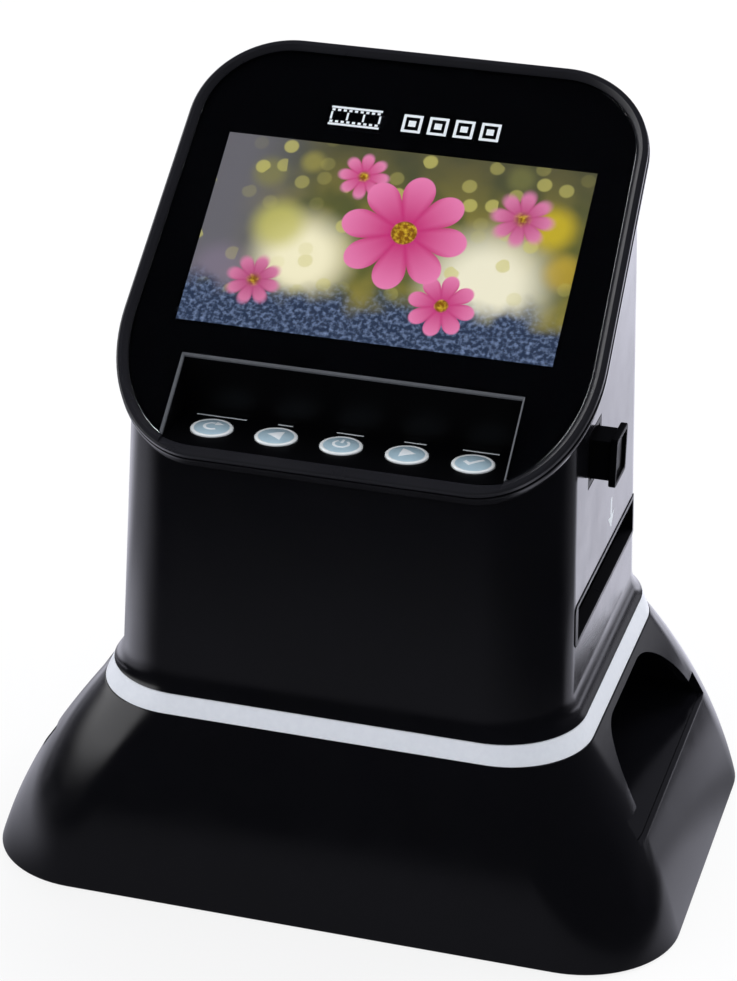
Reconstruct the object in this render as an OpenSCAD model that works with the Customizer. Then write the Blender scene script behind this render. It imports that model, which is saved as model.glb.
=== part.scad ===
// Film and photo scanner: a tapered tower on a flared base, with a tilted display
// head on top, a film slot across the tower and a photo bay across the base.
// A camera in the tower looks straight down through both.
// Millimetres. +X right, +Y to the rear, +Z up, origin in the middle of the footprint.

/* [Base] */
// Width of the base where it meets the table
base_w = 209.7; // [204:0.1:214]
// Depth of the base where it meets the table
base_d = 152.6; // [148:0.2:156]
// Corner radius of the base at the table
base_corner = 31; // [26:0.5:34]
// Height of the flared skirt
skirt_h = 56.2; // [55.6:0.1:57]
// Radius of the flank's curve, seen from the front
flare_r = 140; // [110:5:250]

/* [Tower] */
// Width of the tower where it leaves the light band
tower_w = 143.4; // [141:0.2:146]
// Depth of the tower where it leaves the light band
tower_d = 129.2; // [127:0.2:131]
// How far the tower stands behind the middle of the base
tower_y = 3.35; // [2.5:0.05:4]
// Corner radius of the tower where it leaves the light band
tower_corner = 25.9; // [23:0.1:28]
// Height of the light band
band_h = 6.4; // [5:0.2:6.6]
// How far the band leans out from its top edge to its lower edge
band_lean = 2.6; // [1.5:0.1:3.5]
// Taper of the tower's sides, in degrees
draft = 2.08; // [1:0.1:3]
// Wall thickness of the mouldings
wall = 2.6; // [2.2:0.1:3]

/* [Display head] */
// Tilt of the face from horizontal, in degrees
face_tilt = 39.6; // [38:0.2:41]
// Width of the head where its lower corners start
head_w = 141.8; // [140:0.2:143]
// Width of the head where its upper corners start
head_top_w = 138; // [136:0.2:140]
// Length of the head along its slope
head_h = 140.4; // [140:0.1:141]
// Radius of the upper corners
head_corner = 28; // [26:0.2:31]
// How far the long lower corners reach in
chin_w = 32; // [30:0.5:34]
// How far the long lower corners reach up
chin_h = 44; // [40:0.5:46]
// Width of the picture area, a 5 inch display
screen_w = 110.7; // [100:0.1:112]
// Height of the picture area
screen_h = 63.6; // [58:0.1:64]

/* [Buttons] */
// Distance between neighbouring buttons
button_pitch = 19.1; // [18:0.1:19.5]
// Diameter of a button
button_d = 12.4; // [11:0.2:13.4]
// How far a button travels
button_travel = 0.8; // [0.5:0.1:0.9]

/* [Film slot] */
// Height of the slot's outer edge above the table
slot_z = 84.1; // [83:0.1:86]
// Overall height of the slot's trim
slot_h = 13.4; // [12.6:0.1:14]
// Length of the slot's trim, front to rear
slot_l = 84; // [80:0.2:85]
// Clear height for the film holder
film_gap = 8.4; // [8:0.1:8.8]

/* [Photo bay] */
// Width of the photo tray's way through the base
bay_w = 96.4; // [92:0.2:97]
// Height of the bay's floor
bay_floor = 30; // [29:0.5:31]
// Clear height for the photo tray
tray_h = 7; // [5:0.5:8]
// Width of the finger arch over the tray
arch_w = 82; // [70:1:88]
// Radius of the arch's shoulders
arch_r = 24; // [14:1:25]

/* [Selector] */
// Width of the square guide set in the wall
guide_w = 17; // [15.5:0.5:18]
// Width of the square pull head
pull_w = 14.8; // [13.2:0.2:15]
// Travel of the plunger, pushed in from rest
pull_travel = 5.3; // [3:0.1:5.3]

/* [Hidden] */
$fn = 48;
eps = 0.01;
corner_steps = 12;

// Heights up the tower
foot_h = 0.4;
band_top = skirt_h + band_h;
fillet_h = 8;
fillet_in = 3.7;
fillet_top = band_top + fillet_h;
tower_front = tower_y - tower_d / 2;
tower_rear = tower_y + tower_d / 2;

// How the skirt spreads: the full amount at the sides, less at the front and rear
spread = (base_w - tower_w) / 2;
front_share = (base_d / 2 + tower_front) / spread;
rear_share = (base_d / 2 - tower_rear) / spread;
corner_share = (base_corner - tower_corner) / spread;

// The display's middle and the planes of the face, measured out from the picture
screen_y = -5.3;
screen_z = 187.1;
head_top = 65.2;
head_low = head_top - head_h;
head_depth = 4;
plate_t = 1.7;
parting_in = 1.1;
parting_h = 0.6;
ring_in = 0.2;
bezel_in = 3.7;
bezel_top = 2.4;
floor_top = -0.15;
floor_t = 2.5;
lcd_margin = 1.7;

// The button tray
tray_half = 49.5;
tray_back = -38.7;
tray_top = 142.9;
tray_t = 1.5;
bay_top_v = -43.4;
bay_low_v = -71.4;
button_y = -48.4;
button_top = 143.7;
button_fit = 0.3;
flange_t = 0.9;
keypad_top = 136.9;
board_t = 1.6;
keypad_posts = [for (x = [-1.5, 1.5], y = [-5, 5]) [x * button_pitch, button_y + y]];

// The selector, seen from the right
pull_y = -14.5;
pull_z = 136.2;
pull_x = tower_w / 2 + tower_p(pull_z) + pull_travel + 0.4;
pull_t = 2.1;
stem_w = 12;
stem_root = 60;
stem_fit = 0.3;

// The optics: one vertical axis through the film gate and the photo bay
optic_y = 1;
pupil_z = 141;
photo_half = [63.5, 44.5];
rod_r = 1.5;
rod_fit = 0.05;
rod_y = 9.5;
carriage_z = 133.2;
carriage_t = 6;
macro_r = 3.2;
deck_z = 144;
deck_t = 2.5;
pillar = [50, 30];
barrel_r = 6;
camera_z = 150;

// The film tunnel
slot_y = 4;
slot_lip = 3.5;
slot_corner = 2.4;
film_z = slot_z + 3.6;
film_w = slot_l - 2 * slot_lip;
film_end = 63.7;
gate_t = 2.5;
rail_t = 1.8;
trim_gap = 0.15;

// The photo bay and the light box under it
plate_bottom = bay_floor - 1.8;
bay_skin = 1.8;
sill_lip = 1.5;
arch_y = 1;
arch_top = 54.4;
chamber = [68, 50];
chamber_top = 50.5;
deck_low = 53.5;
box_half = [66, 47];
box_wall = 4.5;
box_z = 8;
plate_h = 2.4;
plate_top = foot_h + plate_h;

// The rear sockets
io_y = 55;
io_z = 118;
usb_x = -27;
hdmi_x = -9;
card_x = 16;

// Screw places
screw_r = 1.3;
head_r = 2.8;
head_t = 2;
base_screws = [for (x = [-82, 82], y = [-52, 52]) [x, y]];
tower_screws = [[-58, -45], [58, -45], [-58, 49], [58, 49]];
head_screws = [[-57.2, -47], [57.2, -47], [-52, 46], [52, 46]];
board_posts = [for (u = [-44, 44], v = [-27, 29]) [u, v]];
io_posts = [[-38, io_z], [34, io_z]];

// ---------------------------------------------------------------- shared geometry

// A rounded rectangle as a ring of points at height z
function ring(half, front, rear, r, z, steps = corner_steps) = [
  for (c = [0:3], i = [0:steps])
    let (
      a = 90 * (c + i / steps),
      cx = (c == 0 || c == 3 ? 1 : -1) * (half - r),
      cy = c < 2 ? rear - r : front + r
    ) [cx + r * cos(a), cy + r * sin(a), z]
];

// The body's outline at height z, spread out by p and then drawn in by inset
function body_ring(p, z, inset, steps) = ring(
  tower_w / 2 + p - inset,
  tower_front - front_share * p + inset,
  tower_rear + (p > 0 ? rear_share : 1) * p - inset,
  tower_corner + (p > 0 ? corner_share * p : max(p, -fillet_in)) - inset, z, steps
);

// The flank is one arc from the table to the band: t runs from 0 to 1 up it
function flank(t) =
  let (
    run = spread - band_lean,
    rise = skirt_h - foot_h,
    mid = atan(run / rise),
    half = asin(norm([run, rise]) / 2 / flare_r),
    a0 = mid - half,
    a = a0 + 2 * half * t
  ) [spread + flare_r * (cos(a) - cos(a0)), foot_h + flare_r * (sin(a) - sin(a0))];

// The fillet above the band is one hollow arc: t runs from 0 to 1 up it
function fillet(t) =
  let (
    mid = atan(fillet_in / fillet_h),
    half = mid - draft,
    r = norm([fillet_in, fillet_h]) / 2 / sin(half),
    a0 = mid + half,
    a = a0 - 2 * half * t
  ) [-r * (cos(a) - cos(a0)), band_top + r * (sin(a0) - sin(a))];

// The tower's straight sides
function tower_p(z) = -fillet_in - tan(draft) * (z - fillet_top);

// Half the camera's field of view at height z, with a little room
function view(z, room = 3) = [for (h = photo_half) h * (pupil_z - z) / (pupil_z - bay_floor) + room];

// A closed skin through a stack of rings that all have the same number of points
module loft(rings) {
  n = len(rings[0]);
  last = (len(rings) - 1) * n;
  sides = [
    for (k = [0:len(rings) - 2], i = [0:n - 1])
      let (a = k * n + i, b = k * n + (i + 1) % n)
        each [[a, a + n, b + n], [a, b + n, b]]
  ];
  polyhedron(
    points = [for (r = rings) each r],
    faces = concat(sides, [[for (i = [0:n - 1]) i]], [[for (i = [n - 1:-1:0]) last + i]])
  );
}

// The flared skirt as a solid, drawn in by inset
module skirt(inset, steps, levels, low, high) {
  loft([
    for (i = [0:levels])
      let (q = flank(i / levels), end = i == 0 ? low : i == levels ? high : 0)
        body_ring(q[0], q[1] + end, inset, steps)
  ]);
}

// The straight part of the tower as a solid, drawn in by inset
module tower_core(inset, steps = corner_steps, low = fillet_top) {
  loft([for (z = [low, 236]) body_ring(tower_p(z), z, inset, steps)]);
}

// The whole tower with the fillet at its foot
module tower_body() {
  levels = 6;
  loft(concat(
    [for (i = [0:levels]) let (q = fillet(i / levels)) body_ring(q[0], q[1], 0, corner_steps)],
    [body_ring(tower_p(236), 236, 0, corner_steps)]
  ));
}

// Places children on the face: X across, Y up the slope, Z out of the face
module on_face() {
  translate([0, screen_y, screen_z])
    rotate([face_tilt, 0, 0])
      children();
}

// Stands a drawing of (Y, Z) up and runs it along X from x0 to x1
module along_x(x0, x1) {
  translate([x0, 0, 0])
    rotate([90, 0, 90])
      linear_extrude(x1 - x0)
        children();
}

module rounded(size, r) {
  square([size[0] - 2 * r, size[1]], center = true);
  square([size[0], size[1] - 2 * r], center = true);
  for (x = [-1, 1], y = [-1, 1])
    translate([x * (size[0] / 2 - r), y * (size[1] / 2 - r)])
      circle(r);
}

module block(x, y, z) {
  translate([x[0], y[0], z[0]])
    cube([x[1] - x[0], y[1] - y[0], z[1] - z[0]]);
}

// A pan-head screw, head down at the origin and shank pointing up
module screw(length, r = screw_r - 0.05, head = head_r, t = head_t) {
  cylinder(h = t, r = head);
  translate([0, 0, t - eps])
    cylinder(h = length + eps, r = r);
}

// ---------------------------------------------------------------- base

// The way through a flank: a wide low slot for the tray under a finger arch
module bay_profile(grow = 0) {
  low = arch_top - arch_r;
  translate([-bay_w / 2 - grow, plate_bottom])
    square([bay_w + 2 * grow, bay_floor + tray_h + grow - plate_bottom]);
  translate([arch_y - arch_w / 2 - grow, plate_bottom])
    square([arch_w + 2 * grow, low - plate_bottom]);
  translate([arch_y - arch_w / 2 + arch_r, plate_bottom])
    square([arch_w - 2 * arch_r, arch_top + grow - plate_bottom]);
  for (s = [-1, 1])
    intersection() {
      translate([arch_y + s * (arch_w / 2 - arch_r), low])
        circle(arch_r + grow);
      translate([-100, plate_bottom])
        square([200, 100]);
    }
}

// The hollow inside the skirt, open at the bottom and closed by the deck
module skirt_hollow() {
  difference() {
    skirt(3, 6, 6, -2, 0);
    block([-120, 120], [-90, 90], [deck_low, 70]);
  }
}

// A screw post with a web that runs out to the nearest wall
module post(place, z0, z1, r, reach) {
  translate([place[0], place[1], z0])
    rotate([0, 0, atan2(place[1], place[0])]) {
      cylinder(h = z1 - z0, r = r);
      translate([0, -0.9, 0])
        cube([reach, 1.8, z1 - z0]);
    }
}

// What the bay takes out of the skirt: below the bay's floor the outer skin stays as a lip
module bay_cut() {
  intersection() {
    union() {
      along_x(chamber[0] - 2, 120)
        bay_profile();
      along_x(-120, 2 - chamber[0])
        bay_profile();
    }
    union() {
      block([-130, 130], [-90, 90], [bay_floor, 70]);
      skirt(sill_lip, 6, 6, 0, 0);
    }
  }
}

module base_shell() {
  color([0.05, 0.05, 0.06]) {
    difference() {
      skirt(0, corner_steps, 12, 0, 0);
      skirt_hollow();
      bay_cut();
      block([-55.5, 55.5], [-41, 43], [deck_low - 1, 60]);
      for (p = tower_screws)
        translate([p[0], p[1], deck_low - 1])
          cylinder(h = 5, r = screw_r + 0.4);
    }
    difference() {
      intersection() {
        skirt(1.2, 6, 6, 0, 0);
        for (p = base_screws)
          post(p, plate_top, 24, 4, 40);
      }
      for (p = base_screws)
        translate([p[0], p[1], plate_top - eps])
          cylinder(h = 16, r = screw_r);
    }
  }
}

module bottom_plate() {
  inset = 4.8;
  color([0.07, 0.07, 0.08])
    difference() {
      union() {
        translate([0, 0, foot_h])
          linear_extrude(plate_h)
            rounded([base_w - 2 * inset, base_d - 2 * inset], base_corner - inset);
        for (x = [-1, 1], y = [-1, 1])
          translate([x * 50, y * 35, plate_top - eps])
            cylinder(h = box_z - plate_top + eps, r = 4);
      }
      for (p = base_screws)
        translate([p[0], p[1], 0]) {
          cylinder(h = 10, r = screw_r + 0.4);
          cylinder(h = foot_h + 1.4, r = head_r + 0.4);
        }
      foot_places()
        cylinder(h = foot_h + 1, r = 7.1);
      for (x = [-4:4], y = [-1, 1])
        translate([x * 9, y * 58, 0])
          block([-1.2, 1.2], [-8, 8], [0, 6]);
    }
}

module foot_places() {
  for (x = [-1, 1], y = [-1, 1])
    translate([x * 66, y * 60, 0])
      children();
}

module rubber_feet() {
  color([0.12, 0.12, 0.12])
    foot_places() {
      cylinder(h = 0.8, r1 = 6.4, r2 = 7);
      translate([0, 0, 0.8 - eps])
        cylinder(h = foot_h + 0.2 + eps, r = 7);
    }
}

module light_band() {
  band_in = 2;
  color([0.86, 0.88, 0.88])
    difference() {
      loft([
        body_ring(band_lean, skirt_h, 0, corner_steps),
        body_ring(0, band_top, 0, corner_steps)
      ]);
      translate([0, tower_y, skirt_h - 1])
        linear_extrude(band_h + 2)
          rounded([tower_w - 2 * band_in, tower_d - 2 * band_in], tower_corner - band_in);
    }
}

// ---------------------------------------------------------------- tower

// What is left of the tower under the head, seen square to the face
module crown(inset, top) {
  r = 25;
  crown_w = 131.4;
  crown_top = 59.7;
  length = 300;
  shoulder = 20;
  on_face()
    translate([0, 0, -200])
      linear_extrude(200 + top) {
        translate([0, crown_top - length / 2])
          rounded([crown_w - 2 * inset, length - 2 * inset], r - inset);
        translate([-base_w / 2, shoulder - length])
          square([base_w, length]);
      }
}

module tower_posts() {
  for (p = tower_screws)
    post(p, skirt_h, 78, 3.6, 30);
  on_face()
    for (p = head_screws)
      post(p, -26, -head_depth, 3.6, 20);
  for (p = io_posts)
    translate([p[0], io_y + board_t, p[1]])
      rotate([-90, 0, 0])
        cylinder(h = 10, r = 3);
}

// The sockets' openings in the rear wall, as size and place
module rear_openings(grow) {
  for (s = [[usb_x, 9, 3.3], [hdmi_x, 11.2, 3.4], [card_x, 25.5, 2.8]])
    translate([s[0], 60, io_z])
      cube([s[1] + 2 * grow, 20, s[2] + 2 * grow], center = true);
}

module tower_shell() {
  color([0.05, 0.05, 0.06])
    difference() {
      union() {
        difference() {
          intersection() {
            tower_body();
            crown(0, -head_depth);
          }
          intersection() {
            tower_core(wall, 6, band_top - 2);
            crown(wall, 20);
          }
        }
        intersection() {
          tower_core(1.2, 6, skirt_h);
          crown(1.2, -head_depth);
          tower_posts();
        }
      }
      along_x(-90, 90)
        translate([slot_y, slot_z + slot_h / 2])
          rounded([slot_l, slot_h], slot_corner);
      translate([60, pull_y, pull_z])
        cube([30, guide_w, guide_w], center = true);
      rear_openings(0.3);
      for (p = tower_screws)
        translate([p[0], p[1], skirt_h - eps])
          cylinder(h = 14, r = screw_r);
      on_face()
        for (p = head_screws)
          translate([p[0], p[1], -20])
            cylinder(h = 20, r = screw_r);
      for (p = io_posts)
        translate([p[0], io_y, p[1]])
          rotate([-90, 0, 0])
            cylinder(h = 6, r = 1);
    }
}

// ---------------------------------------------------------------- display head

// One ring of the head: round corners at the top, long ones at the bottom, drawn in
// by side at the sides and the top and by low at the lower edge
function head_ring(z, side, low) = [
  for (c = [0:3], i = [0:corner_steps])
    let (
      a = 90 * (c + i / corner_steps),
      up = c < 2,
      mid = up ? [head_top_w / 2 - head_corner, head_top - head_corner]
        : [head_w / 2 - chin_w, head_low + chin_h],
      reach = up ? [head_corner - side, head_corner - side] : [chin_w - side, chin_h - low],
      s = c == 0 || c == 3 ? 1 : -1
    ) [s * mid[0] + reach[0] * cos(a), mid[1] + reach[1] * sin(a), z]
];

// The head's outline on the face, drawn in by inset
module head_outline(inset) {
  polygon([for (p = head_ring(0, inset, inset)) [p[0], p[1]]]);
}

module head_housing() {
  cavity = [123, 128];
  cavity_v = -7.25;
  color([0.05, 0.05, 0.06])
    on_face()
      difference() {
        loft([
          head_ring(-head_depth, 0.9, 0),
          head_ring(-2.4, 0.25, 0),
          head_ring(-1, 0, 0),
          head_ring(floor_top - 0.3, 0, 0),
          head_ring(floor_top, 0.3, 0.3)
        ]);
        translate([0, cavity_v, -head_depth - 1])
          linear_extrude(head_depth + 1 + floor_top - floor_t)
            rounded(cavity, 24);
        block([-screen_w / 2 - lcd_margin, screen_w / 2 + lcd_margin],
          [-screen_h / 2 - lcd_margin - 2, screen_h / 2 + lcd_margin], [-5, 2]);
        block([-tray_half - tray_t, tray_half + tray_t], [bay_low_v, bay_top_v + 2.1], [-10, 2]);
        for (p = head_screws)
          translate([p[0], p[1], -10]) {
            cylinder(h = 20, r = screw_r + 0.3);
            translate([0, 0, 10 + floor_top - head_t])
              cylinder(h = 10, r = head_r + 0.2);
          }
      }
}

// The ring round the face, with a shadow gap under it, cut level across the button bay
module bezel_ring() {
  chamfer = 0.6;
  seat = floor_top + parting_h;
  color([0.14, 0.14, 0.15])
    difference() {
      on_face()
        difference() {
          loft([
            head_ring(floor_top, parting_in, parting_in),
            head_ring(seat, parting_in, parting_in),
            head_ring(seat + 0.1, ring_in, ring_in),
            head_ring(bezel_top - chamfer, ring_in, ring_in),
            head_ring(bezel_top, ring_in + chamfer, ring_in + chamfer)
          ]);
          difference() {
            loft([
              head_ring(floor_top - 1, bezel_in, bezel_in),
              head_ring(0.9, bezel_in, bezel_in),
              head_ring(bezel_top + 0.1, bezel_in - 2, bezel_in - 2)
            ]);
            block([-tray_half, tray_half], [head_low, bay_low_v + 10], [-2, 4]);
          }
          translate([0, 0, floor_top - 1])
            linear_extrude(5)
              head_outline(bezel_in);
        }
      block([-tray_half, tray_half], [-80, -50], [tray_top, 160]);
    }
}

// The flat face inside the bezel, with the bay for the buttons cut out of it
module plate_outline() {
  difference() {
    head_outline(bezel_in + 0.05);
    translate([0, (bay_top_v - 90) / 2])
      square([2 * tray_half, 90 + bay_top_v], center = true);
  }
}

module face_plate() {
  color([0.12, 0.12, 0.13, 0.35])
    on_face()
      linear_extrude(plate_t)
        plate_outline();
}

module face_mask() {
  color([0.02, 0.02, 0.02])
    on_face()
      translate([0, 0, floor_top])
        linear_extrude(-floor_top)
          difference() {
            plate_outline();
            square([screen_w, screen_h], center = true);
          }
}

module lcd_panel() {
  grow = 2 * lcd_margin - 0.2;
  color([0.45, 0.5, 0.35])
    on_face()
      translate([0, -1, -1.75])
        cube([screen_w + grow, screen_h + grow + 2, 3], center = true);
}

module lcd_frame() {
  back = -5.2;
  grow = 2 * lcd_margin;
  color([0.7, 0.7, 0.72])
    on_face()
      difference() {
        union() {
          block([-59.9, 59.9], [-39, 39], [back, floor_top - floor_t]);
          for (p = board_posts)
            translate([p[0], p[1], -14.4])
              cylinder(h = 14.4 + back + eps, r = 2.6);
        }
        translate([0, -1, -3.25 + 2.5])
          cube([screen_w + grow, screen_h + grow + 2, 5], center = true);
        for (p = board_posts)
          translate([p[0], p[1], -15])
            cylinder(h = 6, r = 1);
      }
}

// ---------------------------------------------------------------- buttons

// The recess behind the cut in the face: a level shelf, two cheeks and a back wall
module button_tray() {
  low = tray_top - tray_t;
  color([0.03, 0.03, 0.03])
    difference() {
      union() {
        intersection() {
          difference() {
            block([-tray_half - tray_t, tray_half + tray_t], [-70, tray_back + tray_t], [low, 175]);
            block([-tray_half, tray_half], [-80, tray_back], [tray_top, 180]);
          }
          on_face()
            block([-70, 70], [bay_low_v + 0.1, 0], [-40, floor_top]);
        }
        intersection() {
          block([-tray_half, tray_half], [-70, tray_back], [low, tray_top]);
          on_face()
            translate([0, 0, -5])
              linear_extrude(5 + bezel_top)
                head_outline(bezel_in + 0.1);
        }
        for (p = keypad_posts)
          translate([p[0], p[1], keypad_top])
            cylinder(h = low - keypad_top + eps, r = 2);
      }
      for (i = [-2:2])
        translate([i * button_pitch, button_y, low - 1])
          cylinder(h = 4, r = button_d / 2 + button_fit);
      for (p = keypad_posts)
        translate([p[0], p[1], keypad_top - eps])
          cylinder(h = 3.5, r = 0.9);
    }
}

// A cap with a domed top, a flange that keeps it in and a stem that works the switch
module button(place) {
  r = button_d / 2;
  low = tray_top - tray_t;
  dome = 0.7;
  dome_r = (r * r + dome * dome) / 2 / dome;
  translate([place * button_pitch, button_y, 0]) {
    intersection() {
      translate([0, 0, low - 1])
        cylinder(h = button_top - low + 1, r = r);
      translate([0, 0, button_top - dome_r])
        sphere(r = dome_r, $fn = 96);
    }
    translate([0, 0, low - 0.3 - flange_t])
      cylinder(h = flange_t, r = r + 0.9);
    translate([0, 0, keypad_top + 1 + button_travel + 0.3])
      cylinder(h = 2, r = 1.8);
  }
}

module button_back() {
  color([0.62, 0.7, 0.73])
    button(-2);
}

module button_left() {
  color([0.62, 0.7, 0.73])
    button(-1);
}

module button_power() {
  color([0.62, 0.7, 0.73])
    button(0);
}

module button_right() {
  color([0.62, 0.7, 0.73])
    button(1);
}

module button_ok() {
  color([0.62, 0.7, 0.73])
    button(2);
}

module keypad_board() {
  color([0.1, 0.35, 0.2])
    difference() {
      block([-46, 46], [-54.4, -41.6], [keypad_top - board_t, keypad_top]);
      for (p = keypad_posts)
        translate([p[0], p[1], keypad_top - 3])
          cylinder(h = 5, r = 1.2);
    }
}

module dome_switches() {
  color([0.6, 0.6, 0.6])
    for (i = [-2:2])
      translate([i * button_pitch, button_y, keypad_top]) {
        translate([0, 0, 0.3])
          cube([6, 6, 0.6], center = true);
        cylinder(h = 1, r = 2);
      }
}

// ---------------------------------------------------------------- selector and optics

// The square bush in the wall that the plunger runs through
module selector_guide() {
  hole = stem_w + 2 * stem_fit;
  back_w = guide_w + 4;
  color([0.05, 0.05, 0.06])
    difference() {
      union() {
        intersection() {
          difference() {
            tower_core(0);
            tower_core(wall + 1.4);
          }
          translate([70, pull_y, pull_z])
            cube([30, guide_w - 2 * trim_gap, guide_w - 2 * trim_gap], center = true);
        }
        intersection() {
          difference() {
            tower_core(wall);
            tower_core(wall + 1.4);
          }
          translate([70, pull_y, pull_z])
            cube([30, back_w, back_w], center = true);
        }
      }
      translate([70, pull_y, pull_z])
        cube([40, hole, hole], center = true);
    }
}

// A square plunger with a wider, dished pull head
module selector_knob() {
  rim = 1.5;
  color([0.05, 0.05, 0.06])
    difference() {
      union() {
        translate([stem_root, pull_y, pull_z])
          rotate([0, 90, 0])
            linear_extrude(pull_x - stem_root + eps)
              rounded([stem_w, stem_w], 0.8);
        translate([pull_x, pull_y, pull_z])
          rotate([0, 90, 0])
            linear_extrude(pull_t)
              rounded([pull_w, pull_w], 1.2);
      }
      translate([pull_x + pull_t - 0.9, pull_y, pull_z])
        rotate([0, 90, 0])
          linear_extrude(2)
            rounded([pull_w - 2 * rim, pull_w - 2 * rim], 0.8);
    }
}

// Carries the close-up lens under the camera, on two rods
module lens_carriage() {
  arm = 6;
  color([0.2, 0.2, 0.22])
    difference() {
      translate([0, 0, carriage_z])
        linear_extrude(carriage_t)
          polygon([
            [-10, optic_y + 13], [22, optic_y + 13], [22, pull_y + 1], [stem_root - 8, pull_y + 1],
            [stem_root - 8, pull_y + 4.5], [stem_root, pull_y + 4.5], [stem_root, pull_y + 1 - arm],
            [10, pull_y + 1 - arm], [-10, optic_y - 13]
          ]);
      for (s = [-1, 1])
        rod_place(s)
          cylinder(h = 80, r = rod_r + rod_fit, center = true);
      translate([0, optic_y, carriage_z - 1])
        cylinder(h = carriage_t + 2, r = macro_r);
    }
}

module rod_place(side) {
  translate([4, optic_y + side * rod_y, carriage_z + carriage_t / 2])
    rotate([0, 90, 0])
      children();
}

module macro_lens() {
  bulge = 7;
  color([0.6, 0.75, 0.8, 0.5])
    intersection() {
      translate([0, optic_y, carriage_z + 1])
        cylinder(h = 4, r = macro_r);
      translate([0, optic_y, carriage_z + 3 - bulge + 1.8])
        sphere(r = bulge);
      translate([0, optic_y, carriage_z + 3 + bulge - 1.8])
        sphere(r = bulge);
    }
}

module guide_rods() {
  color([0.75, 0.75, 0.77])
    for (s = [-1, 1])
      rod_place(s)
        cylinder(h = 53, r = rod_r, center = true);
}

// A deck on four pillars, with hangers for the rods and a seat for the camera
module optics_chassis() {
  gate_top = film_z + film_gap + gate_t;
  color([0.2, 0.2, 0.22])
    difference() {
      union() {
        translate([0, optic_y, deck_z])
          linear_extrude(deck_t)
            rounded([2 * pillar[0] + 6, 2 * pillar[1] + 6], 3);
        for (x = [-1, 1], y = [-1, 1])
          translate([x * pillar[0], optic_y + y * pillar[1], gate_top])
            cylinder(h = deck_z - gate_top + eps, r = 3);
        for (x = [-21, 29], s = [-1, 1])
          translate([x, optic_y + s * rod_y, (carriage_z + deck_z) / 2 + eps])
            cube([3, 5.6, deck_z - carriage_z], center = true);
        for (s = [-1, 1])
          translate([s * 16, optic_y, deck_z + deck_t - eps])
            cylinder(h = camera_z - deck_z - deck_t + eps, r = 2.2);
      }
      for (s = [-1, 1])
        rod_place(s)
          cylinder(h = 80, r = rod_r, center = true);
      translate([0, optic_y, deck_z - 1])
        cylinder(h = 10, r = barrel_r);
      for (s = [-1, 1])
        translate([s * 16, optic_y, camera_z - 4])
          cylinder(h = 5, r = 0.9);
    }
}

module camera_board() {
  color([0.1, 0.35, 0.2])
    difference() {
      block([-20, 20], [optic_y - 12, optic_y + 12], [camera_z, camera_z + board_t]);
      for (s = [-1, 1])
        translate([s * 16, optic_y, camera_z - 1])
          cylinder(h = 4, r = 1.2);
    }
}

module camera_barrel() {
  color([0.06, 0.06, 0.07])
    translate([0, optic_y, 0])
      rotate_extrude()
        polygon([
          [2, 141.2], [barrel_r - 1, 141.2], [barrel_r - 0.4, 141.8], [barrel_r - 0.4, deck_z],
          [barrel_r, deck_z], [barrel_r, deck_z + deck_t], [barrel_r + 2, deck_z + deck_t],
          [barrel_r + 2, camera_z], [4.4, camera_z], [4.4, 144], [2.6, 143], [2, 142.6]
        ]);
}

module camera_lens() {
  color([0.5, 0.6, 0.75, 0.5])
    translate([0, optic_y, 144.6])
      cylinder(h = 2.4, r = 4.4);
}

module image_sensor() {
  color([0.25, 0.25, 0.35])
    block([-3, 3], [optic_y - 2.3, optic_y + 2.3], [camera_z - 1, camera_z]);
}

// ---------------------------------------------------------------- film slot

// A frame let into the wall, with a sloping sill that leads the film holder in
module slot_trim() {
  gap_top = film_z + film_gap;
  sill_x = 64.4;
  sill_drop = 2.4;
  color([0.1, 0.1, 0.11])
    difference() {
      intersection() {
        difference() {
          tower_core(-0.3);
          tower_core(wall + 0.2);
        }
        along_x(50, 90)
          translate([slot_y, slot_z + slot_h / 2])
            rounded([slot_l - 2 * trim_gap, slot_h - 2 * trim_gap], slot_corner - trim_gap);
      }
      block([50, 90], [slot_y - film_w / 2, slot_y + film_w / 2], [film_z, gap_top]);
      translate([0, slot_y + film_w / 2, 0])
        rotate([90, 0, 0])
          linear_extrude(film_w)
            polygon([
              [sill_x, film_z + 1], [sill_x, film_z], [sill_x + 4, film_z - sill_drop],
              [80, film_z - sill_drop], [80, film_z + 1]
            ]);
    }
}

module slot_trim_right() {
  slot_trim();
}

module slot_trim_left() {
  mirror([1, 0, 0])
    slot_trim();
}

// A level plate of the film tunnel with a window that the camera looks through
module tunnel_plate(z) {
  w = view(z + gate_t);
  half_w = film_w / 2 + rail_t;
  difference() {
    block([-film_end, film_end], [slot_y - half_w, slot_y + half_w], [z, z + gate_t]);
    block([-w[0], w[0]], [optic_y - w[1], optic_y + w[1]], [z - 1, z + gate_t + 1]);
  }
}

module film_deck() {
  color([0.07, 0.07, 0.08]) {
    tunnel_plate(film_z - gate_t);
    for (s = [-1, 1])
      translate([0, slot_y + s * (film_w + rail_t) / 2, film_z + film_gap / 2 - eps])
        cube([2 * film_end, rail_t, film_gap + 2 * eps], center = true);
  }
}

module film_gate() {
  color([0.07, 0.07, 0.08])
    difference() {
      tunnel_plate(film_z + film_gap);
      for (s = [-1, 1])
        translate([0, slot_y + s * (film_w + rail_t) / 2, film_z + film_gap])
          cube([3 * film_end, rail_t + 0.2, 0.2], center = true);
    }
}

// ---------------------------------------------------------------- photo bay

// One ring of the funnel that follows the camera's view
function funnel(z, skin) =
  let (v = view(z))
    ring(v[0] + skin, optic_y - v[1] - skin, optic_y + v[1] + skin, 3 + skin, z, 3);

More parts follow.
